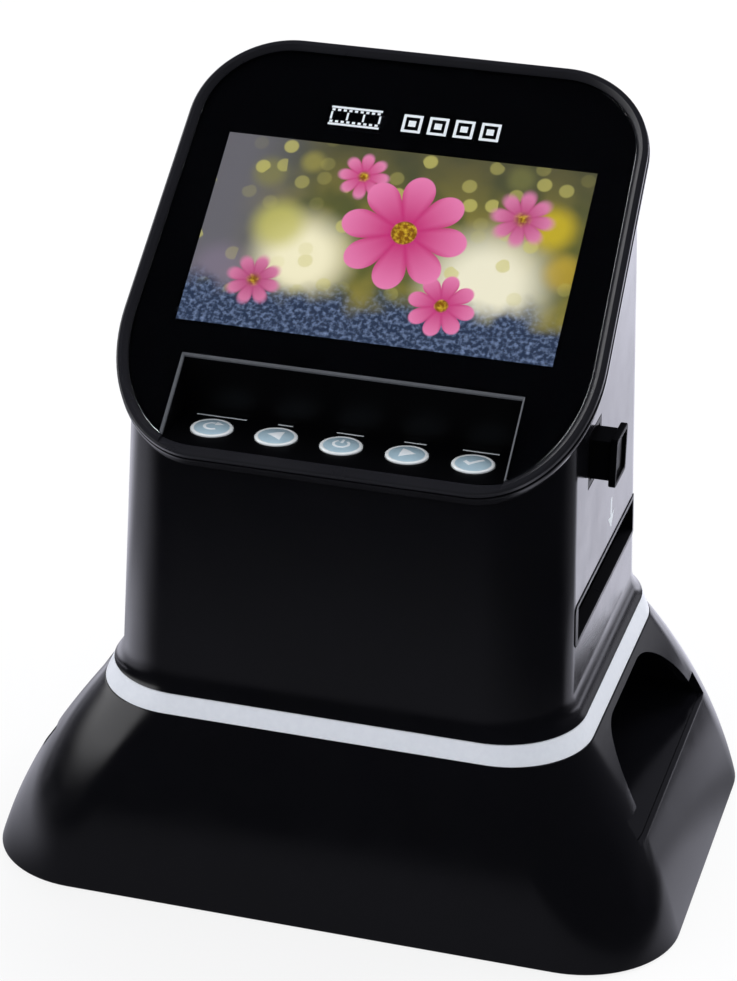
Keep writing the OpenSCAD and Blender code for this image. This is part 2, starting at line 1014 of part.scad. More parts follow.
// A light-tight box over the tray, with a funnel up to the film tunnel
module scan_chamber() {
  top = film_z - gate_t;
  roof = chamber_top - bay_skin;
  color([0.06, 0.06, 0.07])
    difference() {
      union() {
        block([-chamber[0], chamber[0]], [-chamber[1], chamber[1]], [plate_bottom, chamber_top]);
        loft([funnel(chamber_top - 0.5, bay_skin), funnel(top, bay_skin)]);
      }
      block([bay_skin - chamber[0], chamber[0] - bay_skin],
        [-bay_w / 2, bay_w / 2], [plate_bottom - 1, roof]);
      loft([funnel(roof - 1, 0), funnel(top + 1, 0)]);
      block([-90, 90], [-bay_w / 2, bay_w / 2], [plate_bottom - 1, bay_floor + tray_h + 0.5]);
    }
}

module photo_led_boards() {
  color([0.9, 0.9, 0.85])
    for (s = [-1, 1]) {
      translate([0, s * (bay_w / 2 - 0.5), 43])
        cube([100, 1, 8], center = true);
      for (i = [-4:4])
        translate([i * 11, s * (bay_w / 2 - 1.4), 43])
          cube([3, 0.9, 3], center = true);
    }
}

// The recess's own walls, from the chamber out to the inside of the flank
module bay_sleeve() {
  color([0.05, 0.05, 0.06])
    intersection() {
      skirt_hollow();
      difference() {
        along_x(chamber[0], 110)
          bay_profile(bay_skin - 0.2);
        along_x(chamber[0] - 1, 120)
          bay_profile();
      }
    }
}

module bay_sleeve_right() {
  bay_sleeve();
}

module bay_sleeve_left() {
  mirror([1, 0, 0])
    bay_sleeve();
}

module tray_floor() {
  window = [60, 42];
  color([0.05, 0.05, 0.06])
    difference() {
      intersection() {
        skirt(sill_lip + 0.3, 6, 6, 0, 0);
        block([-120, 120], [-bay_w / 2, bay_w / 2], [plate_bottom, bay_floor]);
      }
      block([-window[0], window[0]], [-window[1], window[1]], [0, 50]);
    }
}

module opal_diffuser() {
  color([0.95, 0.95, 0.93])
    block([-63.4, 63.4], [-44.4, 44.4], [plate_bottom - 1.6, plate_bottom]);
}

module light_box() {
  inner = [box_half[0] - box_wall, box_half[1] - box_wall];
  color([0.9, 0.9, 0.9])
    difference() {
      union() {
        block([-box_half[0], box_half[0]], [-box_half[1], box_half[1]], [box_z, plate_bottom]);
        block([-chamber[0], chamber[0]], [-chamber[1], chamber[1]], [plate_bottom - 2, plate_bottom]);
      }
      block([-inner[0], inner[0]], [-inner[1], inner[1]], [box_z + 2, 40]);
      block([-63.5, 63.5], [-44.5, 44.5], [plate_bottom - 1.6, 40]);
    }
}

module backlight_board() {
  color([0.92, 0.92, 0.92])
    block([-60, 60], [-41, 41], [box_z + 2, box_z + 2 + board_t]);
}

module backlight_leds() {
  color([1, 0.95, 0.7])
    for (x = [-2:2], y = [-1:1])
      translate([x * 22, y * 26, box_z + 2 + board_t + 0.5])
        cube([3.5, 3.5, 1], center = true);
}

// ---------------------------------------------------------------- electronics

module main_board() {
  color([0.1, 0.35, 0.2])
    on_face()
      difference() {
        block([-50, 50], [-32, 34], [-16, -14.4]);
        for (p = board_posts)
          translate([p[0], p[1], -17])
            cylinder(h = 4, r = 1.2);
      }
}

// Chips on the underside of the main board: place, size and height
module board_chips() {
  chips = [
    [[-14, 6], [15, 15], 1.2], [[8, 8], [12, 9], 1.2], [[26, -10], [8, 8], 1],
    [[-34, -12], [10, 6], 2.4], [[6, -16], [20, 5], 2.4]
  ];
  color([0.1, 0.1, 0.1])
    on_face()
      for (c = chips)
        translate([c[0][0], c[0][1], -16 - c[2] / 2])
          cube([c[1][0], c[1][1], c[2]], center = true);
}

// The flat cable from the camera up to the main board
module ribbon_cable() {
  t = 0.4;
  foot = [optic_y + 5, camera_z + board_t];
  bend = [34, camera_z + board_t + 12];
  head = [34, 175];
  color([0.85, 0.8, 0.7])
    along_x(-6, 6) {
      polygon([
        foot, [foot[0] + 20, foot[1]], bend, head, [head[0] - t, head[1]],
        [bend[0] - t, bend[1] + t / 2], [foot[0] + 20 - t, foot[1] + t], [foot[0], foot[1] + t]
      ]);
    }
}

module io_board() {
  color([0.1, 0.35, 0.2])
    difference() {
      block([-42, 38], [io_y, io_y + board_t], [io_z - 12, io_z + 12]);
      for (p = io_posts)
        translate([p[0], io_y + 1, p[1]])
          rotate([-90, 0, 0])
            cylinder(h = 5, r = 1.2, center = true);
    }
}

// A metal socket shell with its mouth to the rear
module socket(x, w, h, depth) {
  skin = 0.4;
  mouth = 62.1;
  difference() {
    block([x - w / 2, x + w / 2], [io_y + board_t, mouth], [io_z - h / 2, io_z + h / 2]);
    block([x - w / 2 + skin, x + w / 2 - skin], [mouth - depth, mouth + 1],
      [io_z - h / 2 + skin, io_z + h / 2 - skin]);
  }
}

module usb_socket() {
  color([0.75, 0.75, 0.77]) {
    socket(usb_x, 9, 3.3, 4.5);
    block([usb_x - 3, usb_x + 3], [57.2, 61.3], [io_z - 0.35, io_z + 0.35]);
  }
}

module hdmi_socket() {
  color([0.75, 0.75, 0.77]) {
    socket(hdmi_x, 11.2, 3.4, 4.5);
    block([hdmi_x - 4, hdmi_x + 4], [57.2, 61.3], [io_z - 0.3, io_z + 0.3]);
  }
}

module card_socket() {
  color([0.6, 0.6, 0.62])
    socket(card_x, 25.5, 2.8, 5.5);
}

module case_screws() {
  color([0.3, 0.3, 0.32]) {
    for (p = base_screws)
      translate([p[0], p[1], foot_h + 1.4 - 1.2])
        screw(12, t = 1.2);
    for (p = tower_screws)
      translate([p[0], p[1], deck_low - head_t])
        screw(12);
    on_face()
      for (p = head_screws)
        translate([p[0], p[1], floor_top])
          rotate([180, 0, 0])
            screw(12);
  }
}

module board_screws() {
  color([0.7, 0.7, 0.7]) {
    on_face()
      for (p = board_posts)
        translate([p[0], p[1], -17.2])
          screw(5, 0.95, 2, 1.2);
    for (p = keypad_posts)
      translate([p[0], p[1], keypad_top - board_t - 1])
        screw(4, 0.85, 1.8, 1);
    for (s = [-1, 1])
      translate([s * 16, optic_y, camera_z + board_t + 1])
        rotate([180, 0, 0])
          screw(4, 0.85, 1.8, 1);
    for (p = io_posts)
      translate([p[0], io_y - 1, p[1]])
        rotate([-90, 0, 0])
          screw(4, 0.95, 2, 1);
  }
}

base_shell();
bottom_plate();
rubber_feet();
light_band();
tower_shell();
head_housing();
bezel_ring();
face_plate();
face_mask();
lcd_panel();
lcd_frame();
button_tray();
button_back();
button_left();
button_power();
button_right();
button_ok();
keypad_board();
dome_switches();
selector_guide();
selector_knob();
lens_carriage();
macro_lens();
guide_rods();
optics_chassis();
camera_board();
camera_barrel();
camera_lens();
image_sensor();
slot_trim_right();
slot_trim_left();
film_deck();
film_gate();
scan_chamber();
photo_led_boards();
bay_sleeve_right();
bay_sleeve_left();
tray_floor();
opal_diffuser();
light_box();
backlight_board();
backlight_leds();
main_board();
board_chips();
ribbon_cable();
io_board();
usb_socket();
hdmi_socket();
card_socket();
case_screws();
board_screws();
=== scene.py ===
# %% [markdown]
# # A desktop film and photo scanner
# The scanner is a tapered tower on a flared base, with a tilted display head on top. Its construction
# is already fixed in CAD, in millimetres. This lesson dresses that construction: each shell that shows
# is modelled again with smooth walls and rounded edges, and every piece gets the finish that its real
# material has. We start by loading the CAD frame, because everything else is placed by it.

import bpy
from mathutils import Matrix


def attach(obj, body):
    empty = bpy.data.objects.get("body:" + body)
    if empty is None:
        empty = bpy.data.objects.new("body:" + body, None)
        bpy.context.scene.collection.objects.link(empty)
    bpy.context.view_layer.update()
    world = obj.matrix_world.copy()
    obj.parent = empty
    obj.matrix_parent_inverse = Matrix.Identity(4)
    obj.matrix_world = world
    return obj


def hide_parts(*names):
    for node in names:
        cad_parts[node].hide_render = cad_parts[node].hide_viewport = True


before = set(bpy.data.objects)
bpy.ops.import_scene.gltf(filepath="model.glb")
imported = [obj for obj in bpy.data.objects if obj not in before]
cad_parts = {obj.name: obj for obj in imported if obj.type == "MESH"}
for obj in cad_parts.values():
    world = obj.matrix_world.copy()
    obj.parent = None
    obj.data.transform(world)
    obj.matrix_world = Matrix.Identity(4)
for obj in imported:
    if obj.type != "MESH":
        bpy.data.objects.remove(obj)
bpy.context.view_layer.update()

# %% [markdown]
# ## Units and colours
# Blender works in metres and shaders work in linear colour. Sizes are easier to read in millimetres,
# and colours are easier to pick as hex codes, so one value and one function turn them.

# %% Units and colours
import math
from functools import partial

import bmesh
import bpy
from mathutils import Matrix, Vector

MM = 0.001
scene = bpy.context.scene


def linear(code):
    """An sRGB hex colour as the four linear values that a colour socket takes."""
    channels = [int(code[i:i + 2], 16) / 255 for i in (1, 3, 5)]
    return tuple(c / 12.92 if c <= 0.04045 else ((c + 0.055) / 1.055) ** 2.4 for c in channels) + (1,)


def new_object(name, data):
    """Puts an object that holds the data into the scene."""
    thing = bpy.data.objects.new(name, data)
    scene.collection.objects.link(thing)
    return thing


print("mid grey #808080 is", round(linear("#808080")[0], 3), "in linear light")

# %% [markdown]
# ## The camera
# The camera comes first, so that every render from here on shows the same view. It stands a little to
# the right of the front and looks down by 25 degrees. Its place is worked out from those angles and
# the point it looks at, which is easier to adjust than three raw coordinates.

# %% The camera
AZIMUTH = math.radians(15.51)
ELEVATION = math.radians(24.98)
ROLL = math.radians(1.36)
DISTANCE = 924.1 * MM
TARGET = Vector((-1.78, -12.2, 112.88)) * MM
IMAGE_HEIGHT = 981
FOCAL_PIXELS = 3138.8
SENSOR = 36

toward_camera = Vector((
    math.sin(AZIMUTH) * math.cos(ELEVATION),
    -math.cos(AZIMUTH) * math.cos(ELEVATION),
    math.sin(ELEVATION),
))
level_right = Vector((math.cos(AZIMUTH), math.sin(AZIMUTH), 0))
level_up = toward_camera.cross(level_right)
camera_right = level_right * math.cos(ROLL) + level_up * math.sin(ROLL)
camera_up = level_up * math.cos(ROLL) - level_right * math.sin(ROLL)
camera_data = bpy.data.cameras.new("camera")
camera_data.sensor_fit = "AUTO"
camera_data.sensor_width = SENSOR
camera_data.lens = FOCAL_PIXELS / IMAGE_HEIGHT * SENSOR
camera = new_object("camera", camera_data)
turn = Matrix((camera_right, camera_up, toward_camera)).transposed().to_4x4()
camera.matrix_world = Matrix.Translation(TARGET + toward_camera * DISTANCE) @ turn
scene.camera = camera
print("camera at", [round(x, 3) for x in camera.matrix_world.translation])

# %% [markdown]
# ## One function for shader nodes
# A material is a small graph. One function adds a node, sets its properties, fills or links its
# inputs, and may feed its first output to the next socket. A number that is the same all over a
# surface is typed straight into the shader's own socket. Where many nodes go to one graph, such as
# the world's, the function is bound to it and named for it.

# %% Materials by node
SMOOTH = {"interpolation_type": "SMOOTHSTEP"}


def add_node(material, kind, settings=(), to=None, **inputs):
    """Adds one node. Settings may be just the name of its operation. An input named in0, in1 and so
    on is found by its number, and a node given as an input is linked by its first output."""
    tree = material.node_tree
    node = tree.nodes.new("ShaderNode" + kind)
    if isinstance(settings, str):
        settings = {"operation": settings}
    for name, value in dict(settings).items():
        setattr(node, name, value)
    for name, value in inputs.items():
        numbered = name.startswith("in") and name[2:].isdigit()
        socket = node.inputs[int(name[2:]) if numbered else name.replace("_", " ")]
        if isinstance(value, bpy.types.Node):
            value = value.outputs[0]
        if isinstance(value, bpy.types.NodeSocket):
            tree.links.new(value, socket)
        else:
            socket.default_value = value
    if to is not None:
        tree.links.new(node.outputs[0], to)
    return node


def shader_of(material):
    return material.node_tree.nodes["Principled BSDF"]


def object_place(material):
    """The point being shaded, in the piece's own metres."""
    return add_node(material, "TexCoord").outputs["Object"]


def add_surface(material, grain, depth, rough_low, rough_high, detail=3.0):
    """Gives a moulding its relief: noise with bumps `grain` across and `depth` deep, in millimetres.
    A second, wider noise lets the roughness drift, as it does where a tool is polished unevenly."""
    shader = shader_of(material)
    place = object_place(material)
    relief = add_node(material, "TexNoise", Vector=place, Scale=1 / (grain * MM), Detail=detail)
    add_node(material, "Bump", to=shader.inputs["Normal"], Height=relief, Distance=depth * MM, Strength=1.0)
    drift = add_node(material, "TexNoise", Vector=place, Scale=1 / (12 * MM), Detail=4.0)
    add_node(material, "MapRange", to=shader.inputs["Roughness"], Value=drift,
             From_Min=0.3, From_Max=0.7, To_Min=rough_low, To_Max=rough_high)


def add_drift(material, dark, light, size):
    """Lets the base colour wander between two near shades over patches of that size."""
    patches = add_node(material, "TexNoise", Vector=object_place(material), Scale=1 / (size * MM),
                       Detail=5.0)
    add_node(material, "MixRGB", to=shader_of(material).inputs["Base Color"],
             Fac=patches, Color1=linear(dark), Color2=linear(light))


def new_material(name, colour, surface=(), drift=(), **sockets):
    """A material with its main shader's sockets set. Underscores stand for spaces."""
    material = bpy.data.materials.new(name)
    material.use_nodes = True
    for socket, value in {"Base_Color": linear(colour), **sockets}.items():
        shader_of(material).inputs[socket.replace("_", " ")].default_value = value
    if surface:
        add_surface(material, *surface)
    if drift:
        add_drift(material, *drift)
    return material


print("material helpers ready")

# %% [markdown]
# ## Mouldings
# Nearly all of the scanner is injection-moulded ABS. The outer shells and the head's pan come from a
# polished tool: deep black with a clear sheen and the faint orange peel that cooling plastic leaves.
# The ring round the face is a shade greyer and satin. Inner mouldings are eroded to a fine grain. Each
# line gives the colour, then the relief and the limits of roughness, then the drift of the colour.

# %% Moulded plastics
# Polished ABS: a dark mirror, softened a little, with ripples 4 mm apart and microns deep.
gloss_abs = new_material("black_abs_polished", "#0a0a0d", (4.0, 0.004, 0.13, 0.2, 2.0),
                         ("#08080a", "#0c0c10", 30), IOR=1.52)

# Satin ABS: the tool is brushed, so highlights spread into soft grey bands.
satin_abs = new_material("charcoal_abs_satin", "#1a1a1e", (0.6, 0.006, 0.3, 0.38),
                         ("#18181b", "#1e1e22", 15), IOR=1.52)

# The ring round the face is the same satin ABS, smoother and lighter, so that it frames the plate.
ring_abs = new_material("grey_abs_satin", "#1c1c20", (0.6, 0.006, 0.26, 0.34),
                        ("#19191d", "#202025", 15), IOR=1.52)

# Spark-eroded ABS: a matt grain 0.35 mm across that scatters light evenly.
eroded_abs = new_material("black_abs_spark_eroded", "#0b0b0d", (0.35, 0.012, 0.42, 0.55),
                          ("#09090b", "#101013", 8), IOR=1.5)

# The bays for buttons and tray: very dark and softly polished, darker than the shells as painted shade in
# the recesses.
bay_painted_shade_abs = new_material("black_abs_bay_gloss", "#040406", (3.0, 0.002, 0.3, 0.38),
                       ("#030304", "#050507", 20), IOR=1.22)

# The plunger, its guide and the frames of the film slot: a deep black, painted shade in and round the
# slots, that swallows most reflections.
painted_shade_abs = new_material("black_abs_dyed_through", "#040406", (0.5, 0.004, 0.26, 0.34),
                        ("#030304", "#060608", 6), IOR=1.12)

# White reflecting ABS for the light box: matt, and a little warm.
white_abs = new_material("white_abs_reflector", "#e6e6e2", (0.5, 0.01, 0.5, 0.6),
                         ("#e0e0db", "#ececea", 12), IOR=1.5)

print("mouldings:", [m.name for m in bpy.data.materials if "_abs" in m.name])

# %% [markdown]
# ## Light-guiding and clear plastics
# The band between tower and base is milky polycarbonate: light enters it, scatters and comes out
# nearby, which subsurface scattering imitates. The face is one clear acrylic plate with a hard coat,
# over a black print that leaves a window for the display.

# %% Clear and milky plastics
# Milky polycarbonate: white with a cool cast, fine specks where the diffusing powder clumps.
milky_pc = new_material("milky_polycarbonate", "#dfe2e8", (0.8, 0.006, 0.3, 0.42),
                        ("#dadde4", "#e6e9ee", 1.6), IOR=1.55, Subsurface_Weight=0.3,
                        Subsurface_Scale=1.5 * MM, Subsurface_Radius=(1, 1, 1))

# Cast acrylic, hard-coated: almost invisible by itself, it only adds a clean reflection.
clear_acrylic = new_material("cast_acrylic_hard_coated", "#f4f6f8", (6.0, 0.001, 0.0, 0.03, 1.0),
                             IOR=1.3, Transmission_Weight=1.0)

# Where the plate is cut for the buttons, its bevelled edge is left from the saw: frosted and grey.
sawn_acrylic = new_material("cast_acrylic_sawn_edge", "#606267", (0.4, 0.01, 0.4, 0.5),
                            ("#56585c", "#6a6c71", 4), IOR=1.4)

# Screen print on the back of the plate: flat blue-black ink with a trace of mesh structure.
print_black = new_material("screen_print_black", "#0a0b10", (0.25, 0.002, 0.5, 0.6),
                           ("#080a0f", "#0b0c12", 3), IOR=1.1)

# Opal acrylic over the backlight, and the lenses' coated glass.
opal_acrylic = new_material("opal_acrylic_sheet", "#f0f0ea", (1.0, 0.004, 0.35, 0.45),
                            ("#e9e9e2", "#f4f4ef", 10), IOR=1.49, Subsurface_Weight=0.4,
                            Subsurface_Scale=2 * MM)
coated_glass = new_material("coated_optical_glass", "#dce8f0", (2.0, 0.0005, 0.0, 0.02, 1.0), IOR=1.6,
                            Transmission_Weight=1.0, Thin_Film_Thickness=420.0, Thin_Film_IOR=1.38)
print("clear plastics ready")

# %% [markdown]
# ## Metals, lacquer, rubber and boards
# The button caps are ABS sprayed with silver lacquer, in which fine metal flakes lie at slightly
# different angles. Screws, rods and sockets are real metals, so their colour sits in the reflection.
# Circuit boards are glass fibre under green or white solder mask, with copper tracks just visible.

# %% Metals, lacquer and rubber
def add_flakes(material, size, amount):
    """Metal flakes in lacquer: each cell tilts the surface a little and catches light on its own."""
    cells = add_node(material, "TexVoronoi", Vector=object_place(material), Scale=1 / (size * MM))
    level = add_node(material, "SeparateColor", in0=cells.outputs["Color"])
    add_node(material, "Bump", to=shader_of(material).inputs["Normal"], Height=level, Distance=amount * MM)


def add_brushing(material, along, width, depth):
    """Marks that run along one axis: noise stretched until it becomes lines."""
    stretch = [1.0, 1.0, 1.0]
    stretch[along] = 0.03
    lines = add_node(material, "Mapping", Vector=object_place(material), Scale=stretch)
    marks = add_node(material, "TexNoise", Vector=lines, Scale=1 / (width * MM), Detail=3.0)
    add_node(material, "Bump", to=shader_of(material).inputs["Normal"], Height=marks, Distance=depth * MM)


# Silver lacquer: pale cool grey with 0.15 mm flakes, drawn coarser than real ones so that they show.
silver_lacquer = new_material("silver_lacquer_on_abs", "#b1ccda", drift=("#a6c3d2", "#bbd4e0", 4),
                              Metallic=0.2, Roughness=0.38, Coat_Weight=0.4, Coat_Roughness=0.12)
add_flakes(silver_lacquer, 0.15, 0.004)

# The caps' polished rim, in a near-white lacquer that is a painted highlight.
rim_highlight_lacquer = new_material("silver_lacquer_rim", "#f2f6f7", drift=("#eaf0f2", "#fafdfd", 3),
                           Metallic=0.1, Roughness=0.25, Coat_Weight=0.6, Coat_Roughness=0.08)
add_flakes(rim_highlight_lacquer, 0.15, 0.002)

# Pad-printed ink: opaque, flat and slightly raised, pale blue-white.
pad_ink = new_material("pad_print_white", "#e4eaee", (0.3, 0.003, 0.4, 0.5),
                       ("#d6dee3", "#eef2f4", 1.5), IOR=1.45)

# Ground, folded and plated steel carry the marks of their making along one axis.
steel_rod = new_material("ground_steel", "#c9c9c6", Metallic=1.0, Roughness=0.18)
add_brushing(steel_rod, 0, 0.08, 0.001)
tinned_steel = new_material("tinned_steel_folded", "#b4b5b6", Metallic=1.0, Roughness=0.34)
add_brushing(tinned_steel, 0, 0.12, 0.002)
nickel_steel = new_material("nickel_plated_steel", "#b9b6ae", Metallic=1.0, Roughness=0.25)
add_brushing(nickel_steel, 1, 0.1, 0.0015)
zinc_black = new_material("black_zinc_plated_steel", "#2b2b2e", drift=("#232326", "#37373a", 2),
                          Metallic=1.0, Roughness=0.4)
add_flakes(zinc_black, 0.3, 0.003)

# Rubber for the feet: dull, with the pale bloom that moulded rubber gets.
foot_rubber = new_material("moulded_rubber", "#1c1c1c", (0.5, 0.02, 0.75, 0.9),
                           ("#171717", "#262626", 5), IOR=1.5)
print("metals, lacquer and rubber ready")

# %% Circuit boards
def add_tracks(material, mask, copper, pitch):
    """Copper under solder mask: a tile pattern whose grout lines read as tracks."""
    shader = shader_of(material)
    tiles = add_node(material, "TexBrick", {"offset": 0.4, "squash": 0.7}, Vector=object_place(material),
                     Color1=linear(mask), Color2=linear(mask), Mortar=linear(copper),
                     Scale=1 / (pitch * MM), Mortar_Size=0.06, Brick_Width=2.2, Row_Height=0.5,
                     to=shader.inputs["Base Color"])
    add_node(material, "Bump", to=shader.inputs["Normal"], Height=tiles.outputs["Fac"], Distance=0.02 * MM)


green_board = new_material("fr4_green_solder_mask", "#0f4a28", Roughness=0.3, IOR=1.5)
add_tracks(green_board, "#0f4a28", "#2f7a45", 3.0)
white_board = new_material("fr4_white_solder_mask", "#e4e4de", Roughness=0.35, IOR=1.5)
add_tracks(white_board, "#e4e4de", "#cfcfc6", 5.0)
chip_epoxy = new_material("moulded_epoxy", "#141416", (0.2, 0.01, 0.45, 0.6), IOR=1.55)
lamp_phosphor = new_material("phosphor_in_silicone", "#f2dc8c", (0.4, 0.01, 0.4, 0.5),
                             ("#edd27a", "#f6e6a4", 0.8), IOR=1.41)
sensor_glass = new_material("sensor_under_glass", "#23202c", (0.1, 0.001, 0.2, 0.3),
                            Metallic=0.4, Coat_Weight=1.0)
cable_film = new_material("polyester_flat_cable", "#d8cdb4", (1.0, 0.01, 0.3, 0.4),
                          ("#cfc3a8", "#e0d7c2", 2), IOR=1.55)
print("boards and lamps ready")

# %% [markdown]
# ## Light and floor
# A glossy black object is drawn by what it mirrors. Plain light falls on it from all round, and soft
# lamps that mirrors don't see add a little shape. Mirrors see a room and a floor of their own: both
# are dark in front, so the front stays black. The room glows to the left and low behind, and the
# floor is bright behind, so the left edges and the right wall shine. The camera sees plain white.

# %% World
scene.view_settings.view_transform = "Standard"
world = bpy.data.worlds.new("studio")
scene.world = world
world.use_nodes = True
PLAIN_LIGHT = linear("#dddfe4")
ROOM_DARK, ROOM_BEHIND, ROOM_RIGHT = linear("#101014"), linear("#b4b4c2"), linear("#cbcbd5")
ROOM_LEFT = (1.7, 1.7, 1.74, 1)
RIGHT_WINDOW = (0.48, 0.86, 0.16)

to_world = partial(add_node, world)
looking = to_world("TexCoord").outputs["Generated"]
way_x, way_y, way_z = to_world("SeparateXYZ", Vector=looking).outputs
behind = to_world("MapRange", Value=way_y, From_Min=0.0, From_Max=1.0)
low = to_world("MapRange", Value=way_z, From_Min=0.75, From_Max=-0.1)
leftish = to_world("MapRange", Value=way_x, From_Min=0.5, From_Max=0.0, To_Min=0.25)
low_behind = to_world("Math", "MULTIPLY", in0=behind, in1=low)
back_glow = to_world("Math", "MULTIPLY", in0=low_behind, in1=leftish)
aside = to_world("MapRange", SMOOTH, Value=way_x, From_Min=-0.56, From_Max=-0.7)
above = to_world("MapRange", SMOOTH, Value=way_z, From_Min=0.1, From_Max=0.26)
left_glow = to_world("Math", "MULTIPLY", in0=aside, in1=above)
off_window = to_world("VectorMath", "DISTANCE", in0=looking, in1=RIGHT_WINDOW).outputs["Value"]
right_glow = to_world("MapRange", SMOOTH, Value=off_window, From_Min=0.2, From_Max=0.05)

room = ROOM_DARK
for glow, colour in ((back_glow, ROOM_BEHIND), (left_glow, ROOM_LEFT), (right_glow, ROOM_RIGHT)):
    room = to_world("MixRGB", Fac=glow, Color1=room, Color2=colour)
rays = to_world("LightPath").outputs
mirrored = to_world("Math", "MAXIMUM", in0=rays["Is Glossy Ray"], in1=rays["Is Transmission Ray"])
seen = to_world("MixRGB", Fac=mirrored, Color1=PLAIN_LIGHT, Color2=room)
to_world("MixRGB", to=world.node_tree.nodes["Background"].inputs["Color"],
         Fac=rays["Is Camera Ray"], Color1=seen, Color2=(1, 1, 1, 1))
print("world: white to the camera, a dark room to mirrors")

# %% Lamps
AIM = Vector((0, 0, 0.1))


def soft_box(name, place, size, power):
    """A square lamp aimed at the middle of the scanner. Mirrors don't show it."""
    data = bpy.data.lights.new(name, "AREA")
    data.size = size
    data.energy = power
    lamp = new_object(name, data)
    lamp.location = place
    lamp.visible_glossy = False
    lamp.rotation_euler = (AIM - Vector(place)).to_track_quat("-Z", "Y").to_euler()


soft_box("left_box", (-1.3, -0.5, 0.55), 1.0, 5)
soft_box("high_box", (0.3, 0.9, 1.7), 0.9, 20)

# %% Floor
FLOOR_R = 2.5
bpy.ops.mesh.primitive_circle_add(vertices=96, radius=FLOOR_R, fill_type="NGON", location=(0, 0, 0))
floor = bpy.context.active_object
floor.name = "floor"
paper = new_material("white_seamless_paper", "#f2f2f2", Roughness=0.9)
to_paper = partial(add_node, paper)
spot = object_place(paper)

# Behind a slanting line the floor is lit. Before it, light fades over a quarter of a metre.
LINE_POINT, LINE_NORMAL = (0.067, -0.026, 0), (-0.954, 0.299, 0)
from_line = to_paper("VectorMath", "SUBTRACT", in0=spot, in1=LINE_POINT)
past_line = to_paper("VectorMath", "DOT_PRODUCT", in0=from_line, in1=LINE_NORMAL).outputs["Value"]
lit_part = to_paper("MapRange", SMOOTH, Value=past_line, From_Min=-0.04, From_Max=0.012, To_Max=1.3)
dim_part = to_paper("MapRange", Value=past_line, From_Min=-0.26, From_Max=-0.03, To_Min=0.02, To_Max=0.2)
floor_x, floor_y = to_paper("SeparateXYZ", Vector=spot).outputs[:2]
behind_it = to_paper("MapRange", SMOOTH, Value=floor_y, From_Min=0.02, From_Max=0.18)
rightward = to_paper("MapRange", Value=floor_x, From_Min=-0.05, From_Max=0.1, To_Min=0.6)
glow = to_paper("Math", "ADD", in0=lit_part, in1=dim_part)
for share in (behind_it, rightward):
    glow = to_paper("Math", "MULTIPLY", in0=glow, in1=share)

# Soft round patches of light are laid over it. Each is a middle, a reach in metres and a strength.
PATCHES = [
    ((0.118, -0.01, 0), 0.07, 0.6), ((0.15, 0.09, 0), 0.075, 0.38), ((-0.34, 0.02, 0), 0.27, 0.7),
    ((-0.19, -0.03, 0), 0.12, 0.6), ((-0.02, -0.09, 0), 0.3, 0.13), ((0.38, 0.52, 0), 0.3, 1.1),
    ((-0.75, 0.25, 0), 0.5, -0.7),
]
for middle, reach, level in PATCHES:
    away = to_paper("VectorMath", "DISTANCE", in0=spot, in1=middle).outputs["Value"]
    patch = to_paper("MapRange", SMOOTH, Value=away, From_Min=reach, From_Max=reach * 0.35, To_Max=level)
    glow = to_paper("Math", "ADD", in0=glow, in1=patch)
glow = to_paper("Math", "MAXIMUM", in0=glow, in1=0.0)
mirror_view = to_paper("Emission", Color=linear("#f0f0ff"), Strength=glow)

# The camera sees white paper that keeps a fifth of the scanner's shadow.
SHADOW_FADE = 0.82
white = to_paper("Emission", Color=(1, 1, 1, 1), Strength=1.0)
shadow_keep = to_paper("MixShader", Fac=SHADOW_FADE, in1=shader_of(paper), in2=white)
rays = to_paper("LightPath").outputs
to_mirrors = to_paper("Math", "MAXIMUM", in0=rays["Is Glossy Ray"], in1=rays["Is Transmission Ray"])
lit = to_paper("MixShader", Fac=rays["Is Camera Ray"], in1=shader_of(paper), in2=shadow_keep)
to_paper("MixShader", Fac=to_mirrors, in1=lit, in2=mirror_view,
         to=paper.node_tree.nodes["Material Output"].inputs["Surface"])
floor.data.materials.append(paper)
print("floor radius", FLOOR_R, "m")

# %% [markdown]
# ## Helpers for modelling
# The shells are lofts: rings of edges stacked up the wall and bridged into a skin. A ring starts as a
# plane, is stretched to size, and its four corners are bevelled as vertices, which gives exact arcs.
# Openings are cut with booleans, which suits mouldings, because a mould's core is a solid too.

# %% Rings and skins
CORNER_STEPS = 20


def only(piece):
    """Makes the piece the one selected and active object, and returns it."""
    bpy.ops.object.select_all(action="DESELECT")
    piece.select_set(True)
    bpy.context.view_layer.objects.active = piece
    return piece


def start_piece(name):
    """A new empty mesh in edit mode. Nothing else stays selected."""
    piece = only(new_object(name, bpy.data.meshes.new(name)))
    bpy.ops.object.mode_set(mode="EDIT")
    return piece


def stretch(x, y, middle):
    bpy.ops.transform.resize(value=(x, y, 1), center_override=middle)


def bevel_corners(width, steps):
    """Rounds the selected corners of a flat outline. Width in millimetres."""
    bpy.ops.mesh.bevel(affect="VERTICES", offset=width * MM, offset_type="OFFSET", segments=steps,
                       profile=0.5)


def add_ring(half, front, rear, corner, z, steps=CORNER_STEPS):
    """Adds a rounded rectangle of edges to the mesh in edit mode. All values are millimetres."""
    middle = (0, (front + rear) / 2 * MM, z * MM)
    bpy.ops.mesh.primitive_plane_add(size=1, location=middle)
    stretch(2 * half * MM, (rear - front) * MM, middle)
    bevel_corners(corner, steps)
    bpy.ops.mesh.delete(type="ONLY_FACE")
    bpy.ops.mesh.select_all(action="DESELECT")


def work_mesh(**steps):
    """Runs operators in edit mode, each with the whole mesh selected, and leaves edit mode."""
    for step, settings in steps.items():
        bpy.ops.mesh.select_all(action="SELECT")
        getattr(bpy.ops.mesh, step)(**settings)
    bpy.ops.object.mode_set(mode="OBJECT")


